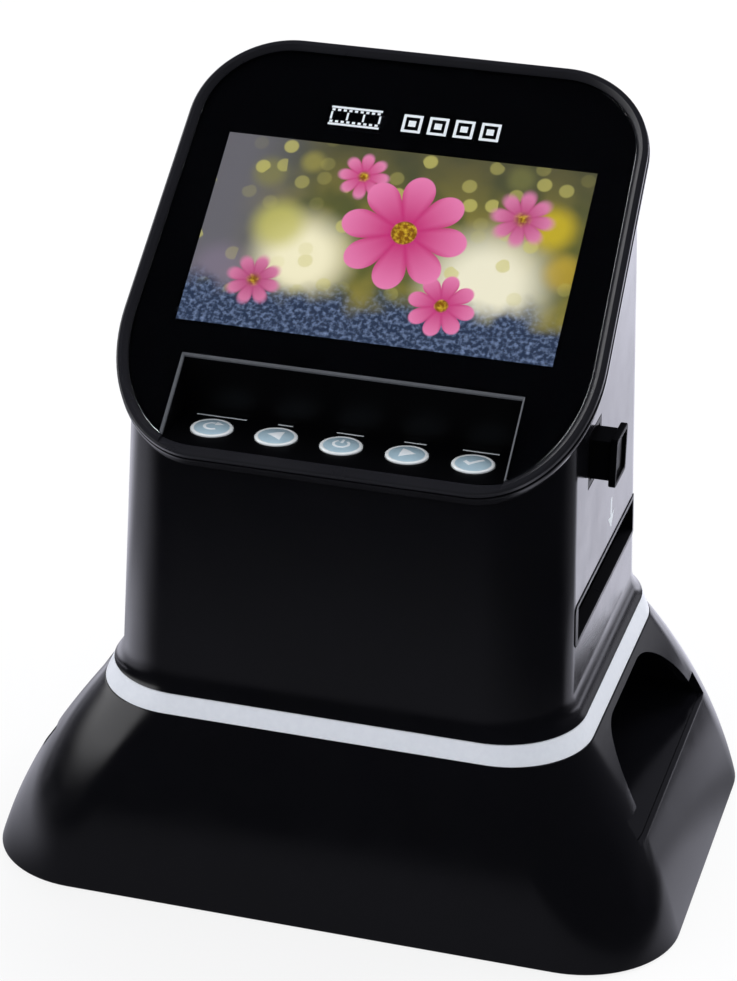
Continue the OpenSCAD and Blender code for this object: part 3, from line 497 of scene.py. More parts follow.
def loft(name, draw_ring, rows):
    """Draws one ring from each row of values, bridges them and closes both ends."""
    piece = start_piece(name)
    for row in rows:
        draw_ring(*row)
    work_mesh(bridge_edge_loops={"type": "SINGLE"}, fill_holes={"sides": 0},
              normals_make_consistent={"inside": False})
    return piece


print("rings have", CORNER_STEPS, "steps a corner")

# %% Cutters and edges
def settle(piece):
    """Moves the piece's place, turn and size into its mesh, and returns it."""
    only(piece)
    bpy.ops.object.transform_apply(location=True, rotation=True, scale=True)
    return piece


def span(middle, length):
    """The two limits of a length about its middle."""
    return middle - length / 2, middle + length / 2


def block(x, y, z):
    """A cutter: a box between pairs of millimetre limits."""
    bpy.ops.mesh.primitive_cube_add(size=1, location=[sum(r) / 2 * MM for r in (x, y, z)],
                                    scale=[(r[1] - r[0]) * MM for r in (x, y, z)])
    return settle(bpy.context.active_object)


def modify(piece, kind, **settings):
    """Adds one modifier with its settings and applies it."""
    only(piece)
    modifier = piece.modifiers.new(kind, kind)
    for name, value in settings.items():
        setattr(modifier, name, value)
    bpy.ops.object.modifier_apply(modifier=kind)


def carve(piece, tool, operation="DIFFERENCE"):
    """Applies one boolean, throws the cutter away and returns the piece."""
    modify(piece, "BOOLEAN", object=tool, operation=operation, solver="EXACT")
    bpy.data.objects.remove(tool)
    return piece


def bevel_edges(piece, wanted, width, segments, **options):
    """Bevels the edges whose middle and direction are wanted, in millimetres. Returns their number."""
    only(piece)
    bpy.ops.object.mode_set(mode="EDIT")
    bpy.ops.mesh.select_mode(type="EDGE")
    bpy.ops.mesh.select_all(action="DESELECT")
    bpy.ops.object.mode_set(mode="OBJECT")
    points = [v.co / MM for v in piece.data.vertices]
    count = 0
    for edge in piece.data.edges:
        a, b = (points[i] for i in edge.vertices)
        edge.select = wanted((a + b) / 2, (b - a).normalized())
        count += edge.select
    bpy.ops.object.mode_set(mode="EDIT")
    bpy.ops.mesh.bevel(affect="EDGES", offset=width * MM, segments=segments, profile=0.5, **options)
    bpy.ops.object.mode_set(mode="OBJECT")
    return count


def round_edges(piece, width, segments=2, angle=35):
    """Rounds every edge that is sharper than the angle. Width in millimetres."""
    modify(piece, "BEVEL", width=width * MM, segments=segments, limit_method="ANGLE",
           angle_limit=math.radians(angle), harden_normals=False)


def smooth(piece):
    """Smooth shading up to 32 degrees, weighted so that large faces stay flat."""
    only(piece)
    bpy.ops.object.shade_smooth_by_angle(angle=math.radians(32))
    modify(piece, "WEIGHTED_NORMAL", keep_sharp=True, weight=80)


def hand_over(piece, body, slot, nodes, *materials):
    """Gives the piece its finish and its body, and lets it stand for CAD nodes."""
    for material in materials:
        piece.data.materials.append(material)
    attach(piece, body)
    if nodes:
        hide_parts(*nodes)
    piece.data.calc_loop_triangles()
    print(piece.name, "triangles:", len(piece.data.loop_triangles))


print("cutters, edges and hand-over ready")

# %% The face's own plane
FACE_TILT = math.radians(39.6)
FACE_MIDDLE = Vector((0, -5.3, 187.1)) * MM
PAN_DEEP = -4.0


def place_on_face(piece):
    """Turns a piece made flat, with Z out of the face, into the head's place."""
    piece.rotation_euler = (FACE_TILT, 0, 0)
    piece.location = FACE_MIDDLE
    return settle(piece)


print("face middle at", list(FACE_MIDDLE))

# %% [markdown]
# ## The outline of the body
# Base, band and tower share one outline, a rounded rectangle that spreads by different shares at the
# sides, the front and the rear. The flank of the base is a single arc. The same few values as in the
# construction drive it, so the new skin lies exactly on the CAD solid, only with more steps.

# %% The outline of the body
TOWER_HALF, TOWER_FRONT, TOWER_REAR, TOWER_CORNER = 71.7, -61.25, 67.95, 25.9
BASE_HALF, BASE_DEEP, BASE_CORNER = 104.85, 76.3, 31.0
SPREAD, BAND_LEAN, FLARE_R = BASE_HALF - TOWER_HALF, 2.6, 140
FRONT_SHARE = (BASE_DEEP + TOWER_FRONT) / SPREAD
REAR_SHARE = (BASE_DEEP - TOWER_REAR) / SPREAD
CORNER_SHARE = (BASE_CORNER - TOWER_CORNER) / SPREAD
FOOT_Z, SKIRT_TOP, BAND_TOP = 0.4, 56.2, 62.6
FILLET_H, FILLET_IN, DRAFT = 8, 3.7, math.radians(2.08)
BASE_WALL, TOWER_WALL = 3, 2.6
HIDDEN_STEPS = 8


def body_ring(p, z, inset=0, steps=CORNER_STEPS):
    """The body's outline spread out by p, drawn in by inset, at height z."""
    corner = TOWER_CORNER + (CORNER_SHARE * p if p > 0 else max(p, -FILLET_IN)) - inset
    add_ring(TOWER_HALF + p - inset, TOWER_FRONT - FRONT_SHARE * p + inset,
             TOWER_REAR + (REAR_SHARE if p > 0 else 1) * p - inset, corner, z, steps)


flank_run, flank_rise = SPREAD - BAND_LEAN, SKIRT_TOP - FOOT_Z
flank_half = math.asin(math.hypot(flank_run, flank_rise) / 2 / FLARE_R)
flank_start = math.atan(flank_run / flank_rise) - flank_half


def flank(z):
    """How far the flank of the base is spread at height z."""
    a = math.asin((z - FOOT_Z) / FLARE_R + math.sin(flank_start))
    return SPREAD + FLARE_R * (math.cos(a) - math.cos(flank_start))


print("spread at the foot and under the band:", round(flank(FOOT_Z), 2), round(flank(SKIRT_TOP), 2))

# %% [markdown]
# ## The flared base
# The base is one glossy moulding with the photo bay through it. The skin is a loft of 30 rings, four of
# them for a small radius at its lower edge. Then the hollow, the deck opening and the bay are carved
# out, and the rim of the bay is bevelled, because a moulded edge has a radius that catches light.

# %% The base's skin and hollow
EDGE_R, TOP_TUCK, LEVELS = 0.3, 0.25, 25
DECK_LOW, THROUGH_DECK = 53.5, (50, 60)
DECK_X, DECK_Y = (-55.5, 55.5), (-41, 43)
rows = []
for step in range(4):
    a = math.radians(30 * step)
    rows.append((FOOT_Z + EDGE_R * (1 - math.cos(a)), EDGE_R * (1 - math.sin(a))))
for level in range(1, LEVELS + 1):
    rows.append((FOOT_Z + EDGE_R + (SKIRT_TOP - EDGE_R - FOOT_Z - EDGE_R) * level / LEVELS, 0))
rows.append((SKIRT_TOP, TOP_TUCK))
base = loft("base_flare", body_ring, [(flank(z), z, inset) for z, inset in rows])

levels = [FOOT_Z + (DECK_LOW - FOOT_Z) * level / 8 for level in range(9)]
carve(base, loft("hollow", body_ring, [
    (flank(z), z if z > FOOT_Z else z - 2, BASE_WALL, HIDDEN_STEPS) for z in levels]))
carve(base, block(DECK_X, DECK_Y, THROUGH_DECK))
print("base skin:", len(base.data.polygons), "faces")

# %% The photo bay
BAY_HALF, BAY_LOW, BAY_FLOOR, BAY_ROOF = 48.2, 28.2, 30.0, 37.0
ARCH_Y, ARCH_HALF, ARCH_TOP, ARCH_R = 1.0, 41.0, 54.4, 24.0
CHAMBER_X, OUTSIDE_X, SILL, RIM_R = 68.0, 120, 1.5, 0.45
BAY_Y = (-BAY_HALF, BAY_HALF)


def bay_cutter(x):
    """The tray's slot joined to the finger arch, whose two top edges are rounded."""
    arch = block(x, span(ARCH_Y, 2 * ARCH_HALF), (BAY_FLOOR, ARCH_TOP))
    bevel_edges(arch, lambda mid, way: abs(way.x) > 0.9 and mid.z > BAY_ROOF, ARCH_R, 20)
    return carve(arch, block(x, BAY_Y, (BAY_FLOOR, BAY_ROOF)), "UNION")


def seat_cutter(x):
    """The seat of the bay's floor plate. The outer 1.5 mm of the flank stays as a sill."""
    seat = loft("seat", body_ring, [
        (flank(z), z, SILL, HIDDEN_STEPS) for z in (BAY_LOW - 2, BAY_LOW, BAY_FLOOR, BAY_FLOOR + 0.5)])
    return carve(seat, block(x, BAY_Y, (BAY_LOW, BAY_FLOOR + 0.2)), "INTERSECT")


def on_bay_rim(mid, way):
    """Whether an edge lies where the bay meets the outer skin."""
    if abs(mid.x) < CHAMBER_X + 4 or abs(mid.y) > BAY_HALF + 0.1:
        return False
    if not BAY_FLOOR - 0.1 < mid.z < ARCH_TOP + 0.1:
        return False
    on_skin = abs(abs(mid.x) - TOWER_HALF - flank(mid.z)) < 0.12
    low_wall = abs(abs(mid.y) - BAY_HALF) < 0.02 or abs(mid.z - BAY_ROOF) < 0.02
    floor_line = abs(mid.z - BAY_FLOOR) < 0.02
    aside, above = abs(mid.y - ARCH_Y) - ARCH_HALF + ARCH_R, mid.z - ARCH_TOP + ARCH_R
    arch_wall = abs(math.hypot(max(aside, 0), max(above, 0)) - ARCH_R) < 0.12 and mid.z > BAY_ROOF
    return on_skin and (low_wall or floor_line or arch_wall)


for side in (-1, 1):
    through = sorted((side * (CHAMBER_X - 2), side * OUTSIDE_X))
    carve(base, bay_cutter(through))
    carve(base, seat_cutter(through))
rim_edges = bevel_edges(base, on_bay_rim, RIM_R, 3, clamp_overlap=True)
smooth(base)
hand_over(base, "scanner", "black_gloss", ["base_shell"], gloss_abs)
print("edges rounded round the bay:", rim_edges)

# %% [markdown]
# ## The light band
# A closed ring of milky plastic is trapped between base and tower. It is lofted like the base. Its two
# edges get a small radius, so that a fine dark line separates it from its neighbours.

# %% The light band
BAND_WALL, BAND_EDGE = 2, ((0.05, 0.3), (0.15, 0.08), (0.4, 0))
rows = [(SKIRT_TOP + depth, inset) for depth, inset in BAND_EDGE]
rows += [(BAND_TOP - depth, inset) for depth, inset in reversed(BAND_EDGE)]
band = loft("band_ring", body_ring, [
    (BAND_LEAN * (BAND_TOP - z) / (BAND_TOP - SKIRT_TOP), z, inset) for z, inset in rows])
carve(band, loft("bore", body_ring, [(0, z, BAND_WALL) for z in (SKIRT_TOP - 1, BAND_TOP + 1)]))
smooth(band)
hand_over(band, "scanner", "band_white", ["light_band"], milky_pc)

# %% [markdown]
# ## The tower
# The tower rises from a hollow fillet and tapers by two degrees. Its crown is cut square to the tilted
# face, with a narrower, rounded top. So the skin is lofted straight up first, and is then intersected
# with a block that stands square to the face. The inner wall is made the same way and subtracted.

# %% The tower's skin and hollow
FILLET_MID = math.atan(FILLET_IN / FILLET_H)
FILLET_HALF = FILLET_MID - DRAFT
FILLET_R = math.hypot(FILLET_IN, FILLET_H) / 2 / math.sin(FILLET_HALF)
FILLET_TOP = BAND_TOP + FILLET_H
CROWN_HALF, CROWN_TOP, CROWN_R, CROWN_SHOULDER = 65.7, 59.7, 25.0, 20.0
TOWER_END, FAR = 236.0, 300


def fillet(t):
    """Spread and height on the hollow arc above the band, t from 0 to 1."""
    start = FILLET_MID + FILLET_HALF
    a = start - 2 * FILLET_HALF * t
    spread = -FILLET_R * (math.cos(a) - math.cos(start))
    return spread, BAND_TOP + FILLET_R * (math.sin(start) - math.sin(a))


def tower_spread(z):
    return -FILLET_IN - math.tan(DRAFT) * (z - FILLET_TOP)


def crown(inset, top):
    """The block, square to the face, that the tower's crown is cut by."""
    upper = block((inset - CROWN_HALF, CROWN_HALF - inset),
                  (CROWN_TOP - FAR + inset, CROWN_TOP - inset), (-200, top))
    bevel_edges(upper, lambda mid, way: abs(way.z) > 0.9 and mid.y > 0, CROWN_R - inset, CORNER_STEPS)
    carve(upper, block((-104, 104), (CROWN_SHOULDER - FAR, CROWN_SHOULDER), (-200, top)), "UNION")
    return place_on_face(upper)


rows = [(0, BAND_TOP + 0.1)] + [fillet(step / 10) for step in range(1, 11)]
for step in range(1, 5):
    z = FILLET_TOP + (TOWER_END - FILLET_TOP) * step / 4
    rows.append((tower_spread(z), z))
tower = loft("tower_wall", body_ring, rows)
carve(tower, crown(0, PAN_DEEP), "INTERSECT")
core = loft("core", body_ring, [
    (tower_spread(z), z, TOWER_WALL, HIDDEN_STEPS) for z in (BAND_TOP - 2, TOWER_END)])
carve(tower, carve(core, crown(TOWER_WALL, 20), "INTERSECT"))
print("tower skin:", len(tower.data.polygons), "faces")

# %% The tower's openings
SLOT_Y, SLOT_Z, SLOT_L, SLOT_H, SLOT_R = 4.0, 90.8, 84.0, 13.4, 2.4
KNOB_Y, KNOB_Z, GUIDE_W = -14.5, 136.2, 17.0
SOCKETS = {"usb": (-27, 9, 3.3), "hdmi": (-9, 11.2, 3.4), "card": (16, 25.5, 2.8)}
SOCKET_Z, GAP = 118.0, 0.3
slot = block((-90, 90), span(SLOT_Y, SLOT_L), span(SLOT_Z, SLOT_H))
bevel_edges(slot, lambda mid, way: abs(way.x) > 0.9, SLOT_R, 8)
carve(tower, slot)
carve(tower, block((45, 75), span(KNOB_Y, GUIDE_W), span(KNOB_Z, GUIDE_W)))
for x, width, height in SOCKETS.values():
    carve(tower, block(span(x, width + 2 * GAP), (50, 70), span(SOCKET_Z, height + 2 * GAP)))
smooth(tower)
hand_over(tower, "scanner", "black_gloss", ["tower_shell"], gloss_abs)

# %% [markdown]
# ## The display head
# The head is a shallow pan with a ring on it, parted by a thin shadow line. Its outline widens
# downwards and ends in two long corners. It is drawn as a tapered plane: the upper corners are bevelled
# round, and the lower ones are bevelled too and then stretched. All of it is lofted flat, with Z out of
# the face, which keeps the numbers simple, and is turned into place at the end.

# %% The head's outline
HEAD_HALF, HEAD_TOP_HALF, HEAD_HIGH, HEAD_LOW = 70.9, 69.0, 65.2, -75.2
HEAD_R, CHIN_W, CHIN_H = 28.0, 32.0, 44.0
CHIN_V = HEAD_LOW + CHIN_H
SIDE_SLOPE = (HEAD_HALF - HEAD_TOP_HALF) / (HEAD_HIGH - HEAD_R - CHIN_V)


def pick(height, wanted):
    """Selects, in edit mode, the vertices at that height whose millimetre place is wanted."""
    mesh = bpy.context.edit_object.data
    cage = bmesh.from_edit_mesh(mesh)
    for vertex in cage.verts:
        place = vertex.co / MM
        vertex.select = abs(place.z - height) < 0.002 and wanted(place)
    cage.select_flush_mode()
    bmesh.update_edit_mesh(mesh)


def head_ring(n, in_side, in_low):
    """An outline of the head at height n out of the face, drawn in at the sides and below."""
    bpy.ops.mesh.select_mode(type="VERT")
    reach, rise, steps = CHIN_W - in_side, CHIN_H - in_low, CORNER_STEPS + 4
    low, high = CHIN_V - reach, HEAD_HIGH - in_side
    middle = (0, (low + high) / 2 * MM, n * MM)
    low_half = HEAD_HALF - in_side + SIDE_SLOPE * (CHIN_V - low)
    high_half = HEAD_HALF - in_side - SIDE_SLOPE * (high - CHIN_V)
    bpy.ops.mesh.primitive_plane_add(size=1, location=middle)
    stretch(2 * low_half * MM, (high - low) * MM, middle)
    pick(n, lambda place: place.y > 0)
    stretch(high_half / low_half, 1, middle)
    bevel_corners(HEAD_R - in_side, steps)
    pick(n, lambda place: place.y < low + 0.01)
    bevel_corners(reach, steps)
    pick(n, lambda place: place.y < CHIN_V + 0.5)
    stretch(1, rise / reach, (0, CHIN_V * MM, n * MM))
    bpy.ops.mesh.select_all(action="SELECT")
    bpy.ops.mesh.delete(type="ONLY_FACE")
    bpy.ops.mesh.select_all(action="DESELECT")


def head_loft(name, profile):
    """A skin of outlines, each drawn in alike all round: rows of a height and an inset."""
    return loft(name, head_ring, [(n, inset, inset) for n, inset in profile])


print("long corners start at", CHIN_V, "mm on the face")

# %% The head's pan
PAN_FOOT = ((PAN_DEEP, 0.45), (PAN_DEEP + 0.08, 0.2), (PAN_DEEP + 0.3, 0.03))
WIDEST, FLOOR_N, CAVITY_ROOF = -1, -0.15, -2.65
PAN_TOP = ((-0.5, 0), (-0.3, 0.06), (-0.2, 0.16), (FLOOR_N, 0.32))
CAVITY_OUTLINE = (61.5, -71.25, 56.75, 24)
PANEL_WINDOW = ((-57.05, 57.05), (-35.5, 33.5))
BUTTON_WINDOW = ((-51, 51), (-71.4, -41.3))


def swell(n):
    """How far the pan's side is drawn in below its widest line."""
    return 0.9 * (min(n - WIDEST, 0) / 3) ** 2


rows = [(n, swell(n) + inset, inset) for n, inset in PAN_FOOT]
for step in range(1, 10):
    n = PAN_DEEP + 0.3 + (WIDEST - PAN_DEEP - 0.3) * step / 9
    rows.append((n, swell(n), 0))
pan = loft("head_pan", head_ring, rows + [(n, inset, inset) for n, inset in PAN_TOP])
carve(pan, loft("cavity", add_ring, [(*CAVITY_OUTLINE, n, 10) for n in (PAN_DEEP - 1, CAVITY_ROOF)]))
carve(pan, block(*PANEL_WINDOW, (-5, 2)))
carve(pan, block(*BUTTON_WINDOW, (-10, 2)))
place_on_face(pan)
smooth(pan)
hand_over(pan, "scanner", "black_gloss", ["head_housing"], gloss_abs)

# %% The raised ring
BAY_U, BAY_V, BAY_CHIN, SHELF_Z = 49.5, -43.4, -61.4, 142.9
RING_IN, PLATE_IN = 0.2, 3.7
RING_PROFILE = ((FLOOR_N, 1.1), (0.4, 1.1), (0.42, 0.5), (0.47, 0.3), (0.58, RING_IN), (1.7, RING_IN),
                (2.0, 0.28), (2.25, 0.48), (2.37, 0.72), (2.4, 0.95))
INNER_PROFILE = ((-1, PLATE_IN), (0.85, PLATE_IN), (1.2, 3.4), (2.15, 2.2), (2.34, 1.9), (2.5, 1.55))
ring_piece = head_loft("head_bezel", RING_PROFILE)
inside = head_loft("inside", INNER_PROFILE)
carve(ring_piece, carve(inside, block((-BAY_U, BAY_U), (-90, BAY_CHIN), (-3, 4))))
carve(ring_piece, head_loft("straight", ((-1.1, PLATE_IN), (4, PLATE_IN))))
place_on_face(ring_piece)
carve(ring_piece, block((-BAY_U, BAY_U), (-80, -50), (SHELF_Z, 160)))
round_edges(ring_piece, 0.12, 2, 50)
smooth(ring_piece)
hand_over(ring_piece, "scanner", "smoke_satin", ["bezel_ring"], ring_abs)

# %% The clear face
PLATE_TOP, PLATE_GAP, CUT_CHAMFER = 1.7, 0.05, 0.6
plate = head_loft("clear_face", ((0.03, PLATE_IN + PLATE_GAP), (PLATE_TOP, PLATE_IN + PLATE_GAP)))
carve(plate, block((-BAY_U, BAY_U), (-90, BAY_V), (-1, 3)))
bevel_edges(plate, lambda mid, way: abs(mid.z - PLATE_TOP) < 0.01 and abs(mid.x) < BAY_U + 0.1
            and -70 < mid.y < BAY_V + 0.1, CUT_CHAMFER, 1)
for face in plate.data.polygons:
    middle = face.center / MM
    by_bay = abs(middle.x) < BAY_U + 1 and middle.y < BAY_V + 1
    face.material_index = 1 if by_bay and abs(face.normal.z) < 0.9 and middle.z > 0.1 else 0
round_edges(plate, 0.15, 2, 60)
place_on_face(plate)
smooth(plate)
hand_over(plate, "scanner", "face_clear", ["face_plate"], clear_acrylic, sawn_acrylic)

# %% [markdown]
# ## The display
# The panel keeps its CAD mesh and shows a luminous picture, as a lit liquid crystal does: garden flowers
# in front of a garden out of focus. It is painted by nodes only. The Mapping node turns Object
# coordinates into the face's own plane, so X runs across the picture and Y up it, both in metres.

# %% The display's blurred garden
picture = new_material("lit_liquid_crystal", "#000000", Roughness=0.3)
to_picture = partial(add_node, picture)
face_turn = Matrix.Rotation(-FACE_TILT, 3, "X")
on_panel = to_picture("Mapping", Vector=object_place(picture), Rotation=(-FACE_TILT, 0, 0),
                      Location=-(face_turn @ FACE_MIDDLE))
panel_x, panel_y = to_picture("SeparateXYZ", Vector=on_panel).outputs[:2]
flat = to_picture("CombineXYZ", X=panel_x, Y=panel_y)
waver = to_picture("TexNoise", Vector=flat, Scale=1 / (16 * MM), Detail=2.0)


def paint(under, colour, mask):
    """Lays a colour over the picture so far, where the mask is 1."""
    over = linear(colour) if isinstance(colour, str) else colour
    return to_picture("MixRGB", Fac=mask, Color1=under, Color2=over)


leftward = to_picture("MapRange", SMOOTH, Value=panel_x, From_Min=-20 * MM, From_Max=-50 * MM)
upward = to_picture("MapRange", SMOOTH, Value=panel_y, From_Min=2 * MM, From_Max=34 * MM, To_Max=0.75)
clumps = to_picture("MapRange", SMOOTH, Value=waver, From_Min=0.35, From_Max=0.65)
canvas = paint(linear("#8d8340"), "#5d6034", clumps)
canvas = paint(canvas, "#46463c", upward)
canvas = paint(canvas, "#6c6a70", leftward)

# Each glow is a place on the panel, a radius, a colour and a strength. Most of the radius is blur.
GLOWS = [
    ((-24, -7), 19, "#fff6d0", 1.0), ((31, -9), 24, "#fff8dc", 0.95), ((-33, 3), 11, "#cfc86c", 0.8),
    ((-40, 20), 7, "#8a8650", 0.7), ((-28, 25), 5, "#a39a52", 0.7), ((46, 12), 10, "#d8bd2e", 0.8),
    ((52, -2), 8, "#c9a93a", 0.7), ((34, 27), 6, "#7b7a48", 0.7), ((-47, -14), 12, "#8c7f92", 0.6),
    ((-52, -27), 10, "#6b4f55", 0.6),
]
for (u, v), radius, colour, strength in GLOWS:
    away = to_picture("VectorMath", "DISTANCE", in0=flat, in1=(u * MM, v * MM, 0)).outputs["Value"]
    mask = to_picture("MapRange", SMOOTH, Value=away, From_Min=radius * MM,
                      From_Max=radius * 0.3 * MM, To_Max=strength)
    canvas = paint(canvas, colour, mask)

# Points of light out of focus turn to discs 7 mm apart, some bright and most of them dim.
discs = to_picture("TexVoronoi", {"voronoi_dimensions": "2D"}, Vector=flat, Scale=1 / (7 * MM))
disc_mask = to_picture("MapRange", SMOOTH, Value=discs, From_Min=0.36, From_Max=0.26, To_Max=0.6)
disc_level = to_picture("SeparateColor", in0=discs.outputs["Color"])
disc_lit = to_picture("MapRange", Value=disc_level, From_Min=0.55, From_Max=0.9)
canvas = paint(canvas, "#d6cd74", to_picture("Math", "MULTIPLY", in0=disc_mask, in1=disc_lit))

# Below lies a bank of blue flowers in shade, with a ragged upper edge and pale specks.
ragged = to_picture("Math", "MULTIPLY_ADD", in0=waver, in1=-22 * MM, in2=panel_y)
bank_mask = to_picture("MapRange", SMOOTH, Value=ragged, From_Min=-24 * MM, From_Max=-33 * MM)
specks = to_picture("TexNoise", Vector=flat, Scale=1 / (1.3 * MM), Detail=4.0)
speck_mask = to_picture("MapRange", Value=specks, From_Min=0.45, From_Max=0.75)
canvas = paint(canvas, paint(linear("#2c3850"), "#8294b8", speck_mask), bank_mask)
print("garden painted with", len(picture.node_tree.nodes), "nodes")

# %% The flowers in front
# Each flower is a centre, a radius, a turn, a blur in millimetres and two petal colours.
FLOWERS = [
    ((37, 14), 9, 0.3, 1.6, "#c04a80", "#e68ab4"), ((-36, -16), 8, 0.9, 1.2, "#b8487c", "#e286ae"),
    ((-12, 22), 7.5, 0.1, 0.9, "#cc3f80", "#ee8fba"), ((20, -17), 10, 0.7, 0.4, "#c83a7c", "#ef86b6"),
    ((4, 5), 19, 0.45, 0.25, "#c92f76", "#f285b8"),
]
for (u, v), radius, turn, blur, deep, pale in FLOWERS:
    # The distance from the centre, and eight lobes round it from the angle.
    shifted = to_picture("VectorMath", "SUBTRACT", in0=flat, in1=(u * MM, v * MM, 0))
    petal_x, petal_y = to_picture("SeparateXYZ", Vector=shifted).outputs[:2]
    reach = to_picture("VectorMath", "LENGTH", in0=shifted).outputs["Value"]
    angle = to_picture("Math", "ARCTAN2", in0=petal_y, in1=petal_x)
    eighth = to_picture("Math", "MULTIPLY_ADD", in0=angle, in1=4.0, in2=turn)
    wave = to_picture("Math", "COSINE", in0=eighth)
    lobe = to_picture("Math", "ABSOLUTE", in0=wave)
    full = to_picture("Math", "POWER", in0=lobe, in1=0.45)
    tip = to_picture("MapRange", Value=full, To_Min=0.5 * radius * MM, To_Max=radius * MM)
    # The petals, paler outwards and darker in the folds between them.
    left_over = to_picture("Math", "SUBTRACT", in0=tip, in1=reach)
    petal_mask = to_picture("MapRange", SMOOTH, Value=left_over, From_Min=-blur * MM, From_Max=blur * MM)
    fade = to_picture("MapRange", Value=reach, From_Min=0.15 * radius * MM, From_Max=radius * MM)
    fold = to_picture("MapRange", Value=lobe, From_Min=0.0, From_Max=0.6, To_Min=0.75, To_Max=0.0)
    petal = paint(paint(linear(deep), pale, fade), deep, fold)
    canvas = paint(canvas, petal, petal_mask)
    # The yellow eye.
    eye = to_picture("MapRange", SMOOTH, Value=reach, From_Min=(0.2 * radius + blur) * MM,
                     From_Max=(0.2 * radius - blur) * MM)
    canvas = paint(canvas, paint(linear("#8a5a14"), "#f0c83c", speck_mask), eye)
panel_shader = shader_of(picture)
picture.node_tree.links.new(canvas.outputs[0], panel_shader.inputs["Emission Color"])
panel_shader.inputs["Emission Strength"].default_value = 1.0
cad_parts["lcd_panel"].material_slots[0].material = picture
print("display painted with", len(picture.node_tree.nodes), "nodes")

# %% [markdown]
# ## Small mouldings from their CAD copies
# The plunger and its guide, the slot's frames, the shelf of the button bay, and the walls and floor
# plate of the photo bay already have the right faces. They only lack the radius that every moulded
# edge has. A copy of each CAD mesh is merged, its flat faces are joined again, and its edges are
# rounded with a Bevel modifier.

# %% Rounded copies
def rounded_copy(name, node, width, segments=2):
    """A copy of a CAD node with joined faces and rounded edges."""
    piece = only(new_object(name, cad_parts[node].data.copy()))
    piece.data.materials.clear()
    bpy.ops.object.mode_set(mode="EDIT")
    work_mesh(remove_doubles={"threshold": 0.005 * MM}, dissolve_limited={"angle_limit": math.radians(0.5)},
              customdata_custom_splitnormals_clear={})
    round_edges(piece, width, segments)
    smooth(piece)
    return piece


knob = rounded_copy("plunger", "selector_knob", 0.35, 3)
# The plunger is deep black, painted shade; only the faces at its very end take the lighter eroded finish, a
# painted highlight round its end.
knob_end = max(v.co.x for v in knob.data.vertices)
for face in knob.data.polygons:
    face.material_index = 1 if knob_end - face.center.x < 0.5 * MM and face.normal.x > 0.3 else 0
hand_over(knob, "selector", "black_satin", ["selector_knob"], painted_shade_abs, eroded_abs)
# The guide is deep black as well, painted shade round the plunger.
guide = rounded_copy("plunger_guide", "selector_guide", 0.3, 3)
hand_over(guide, "scanner", "black_satin", ["selector_guide"], painted_shade_abs)
for side in ("right", "left"):
    trim = rounded_copy("slot_frame_" + side, "slot_trim_" + side, 0.18)
    # Faces that look out along X take the satin ABS; the faces inside the slot stay deep black, as painted
    # shade.
    for face in trim.data.polygons:
        face.material_index = 1 if abs(face.normal.x) > 0.9 else 0
    hand_over(trim, "scanner", "smoke_satin", ["slot_trim_" + side], painted_shade_abs, satin_abs)
    # The bay's walls are darker than the shells, as painted shade.
    sleeve = rounded_copy("bay_wall_" + side, "bay_sleeve_" + side, 0.1)
    hand_over(sleeve, "scanner", "black_satin", ["bay_sleeve_" + side], bay_painted_shade_abs)
# The button shelf is darker than the shells too, as painted shade in the bay.
shelf = rounded_copy("button_bay", "button_tray", 0.2)
hand_over(shelf, "scanner", "black_gloss", ["button_tray"], bay_painted_shade_abs)
bay_plate = rounded_copy("bay_floor_plate", "tray_floor", 0.25)
hand_over(bay_plate, "scanner", "black_gloss", ["tray_floor"], gloss_abs)

# %% [markdown]
# ## The button caps
# Each cap is a disc with a shallow dome inside a rim painted bright as a highlight. One master is drawn as
# half a section and spun about its own axis, as on a lathe. The five caps are copies of it, each with a
# symbol of its own.

# %% The button caps
BUTTON_R, BUTTON_Y, BUTTON_PITCH, BUTTON_TOP = 6.2, -48.4, 19.1, 143.7
STOP_Z, FLANGE_R, FLANGE_T, STEM_R, STEM_LOW, RIM_IN = 141.1, 7.1, 0.9, 1.8, 139.0, 5.05
DOME = [(0, 0.02), (1.5, 0.06), (3.0, 0.17), (4.3, 0.33), (4.95, 0.45)]
RIM = [(5.1, 0.49), (5.25, 0.43), (5.58, 0.36), (5.9, 0.46), (6.12, 0.66), (BUTTON_R, 0.95)]
SECTION = [(r, BUTTON_TOP - depth) for r, depth in DOME + RIM] + [
    (BUTTON_R, STOP_Z), (FLANGE_R, STOP_Z), (FLANGE_R, STOP_Z - FLANGE_T),
    (STEM_R, STOP_Z - FLANGE_T), (STEM_R, STEM_LOW), (0, STEM_LOW),
]


def spun(name, section):
    """Spins a half section of (radius, height) about Z into a closed piece."""
    piece = start_piece(name)
    bpy.ops.object.mode_set(mode="OBJECT")
    outline = [(r * MM, 0, z * MM) for r, z in section]
    piece.data.from_pydata(outline, [(i, i + 1) for i in range(len(outline) - 1)], [])
    bpy.ops.object.mode_set(mode="EDIT")
    work_mesh(spin={"steps": 64, "angle": 2 * math.pi, "center": (0, 0, 0), "axis": (0, 0, 1)},
              remove_doubles={"threshold": 0.001 * MM}, normals_make_consistent={"inside": False})
    return piece


def put_at_button(piece, place):
    """Moves a piece from the axis to one of the five places, counted from -2 to 2."""
    piece.location = (place * BUTTON_PITCH * MM, BUTTON_Y * MM, 0)
    return settle(piece)


master = spun("cap_master", SECTION)
smooth(master)
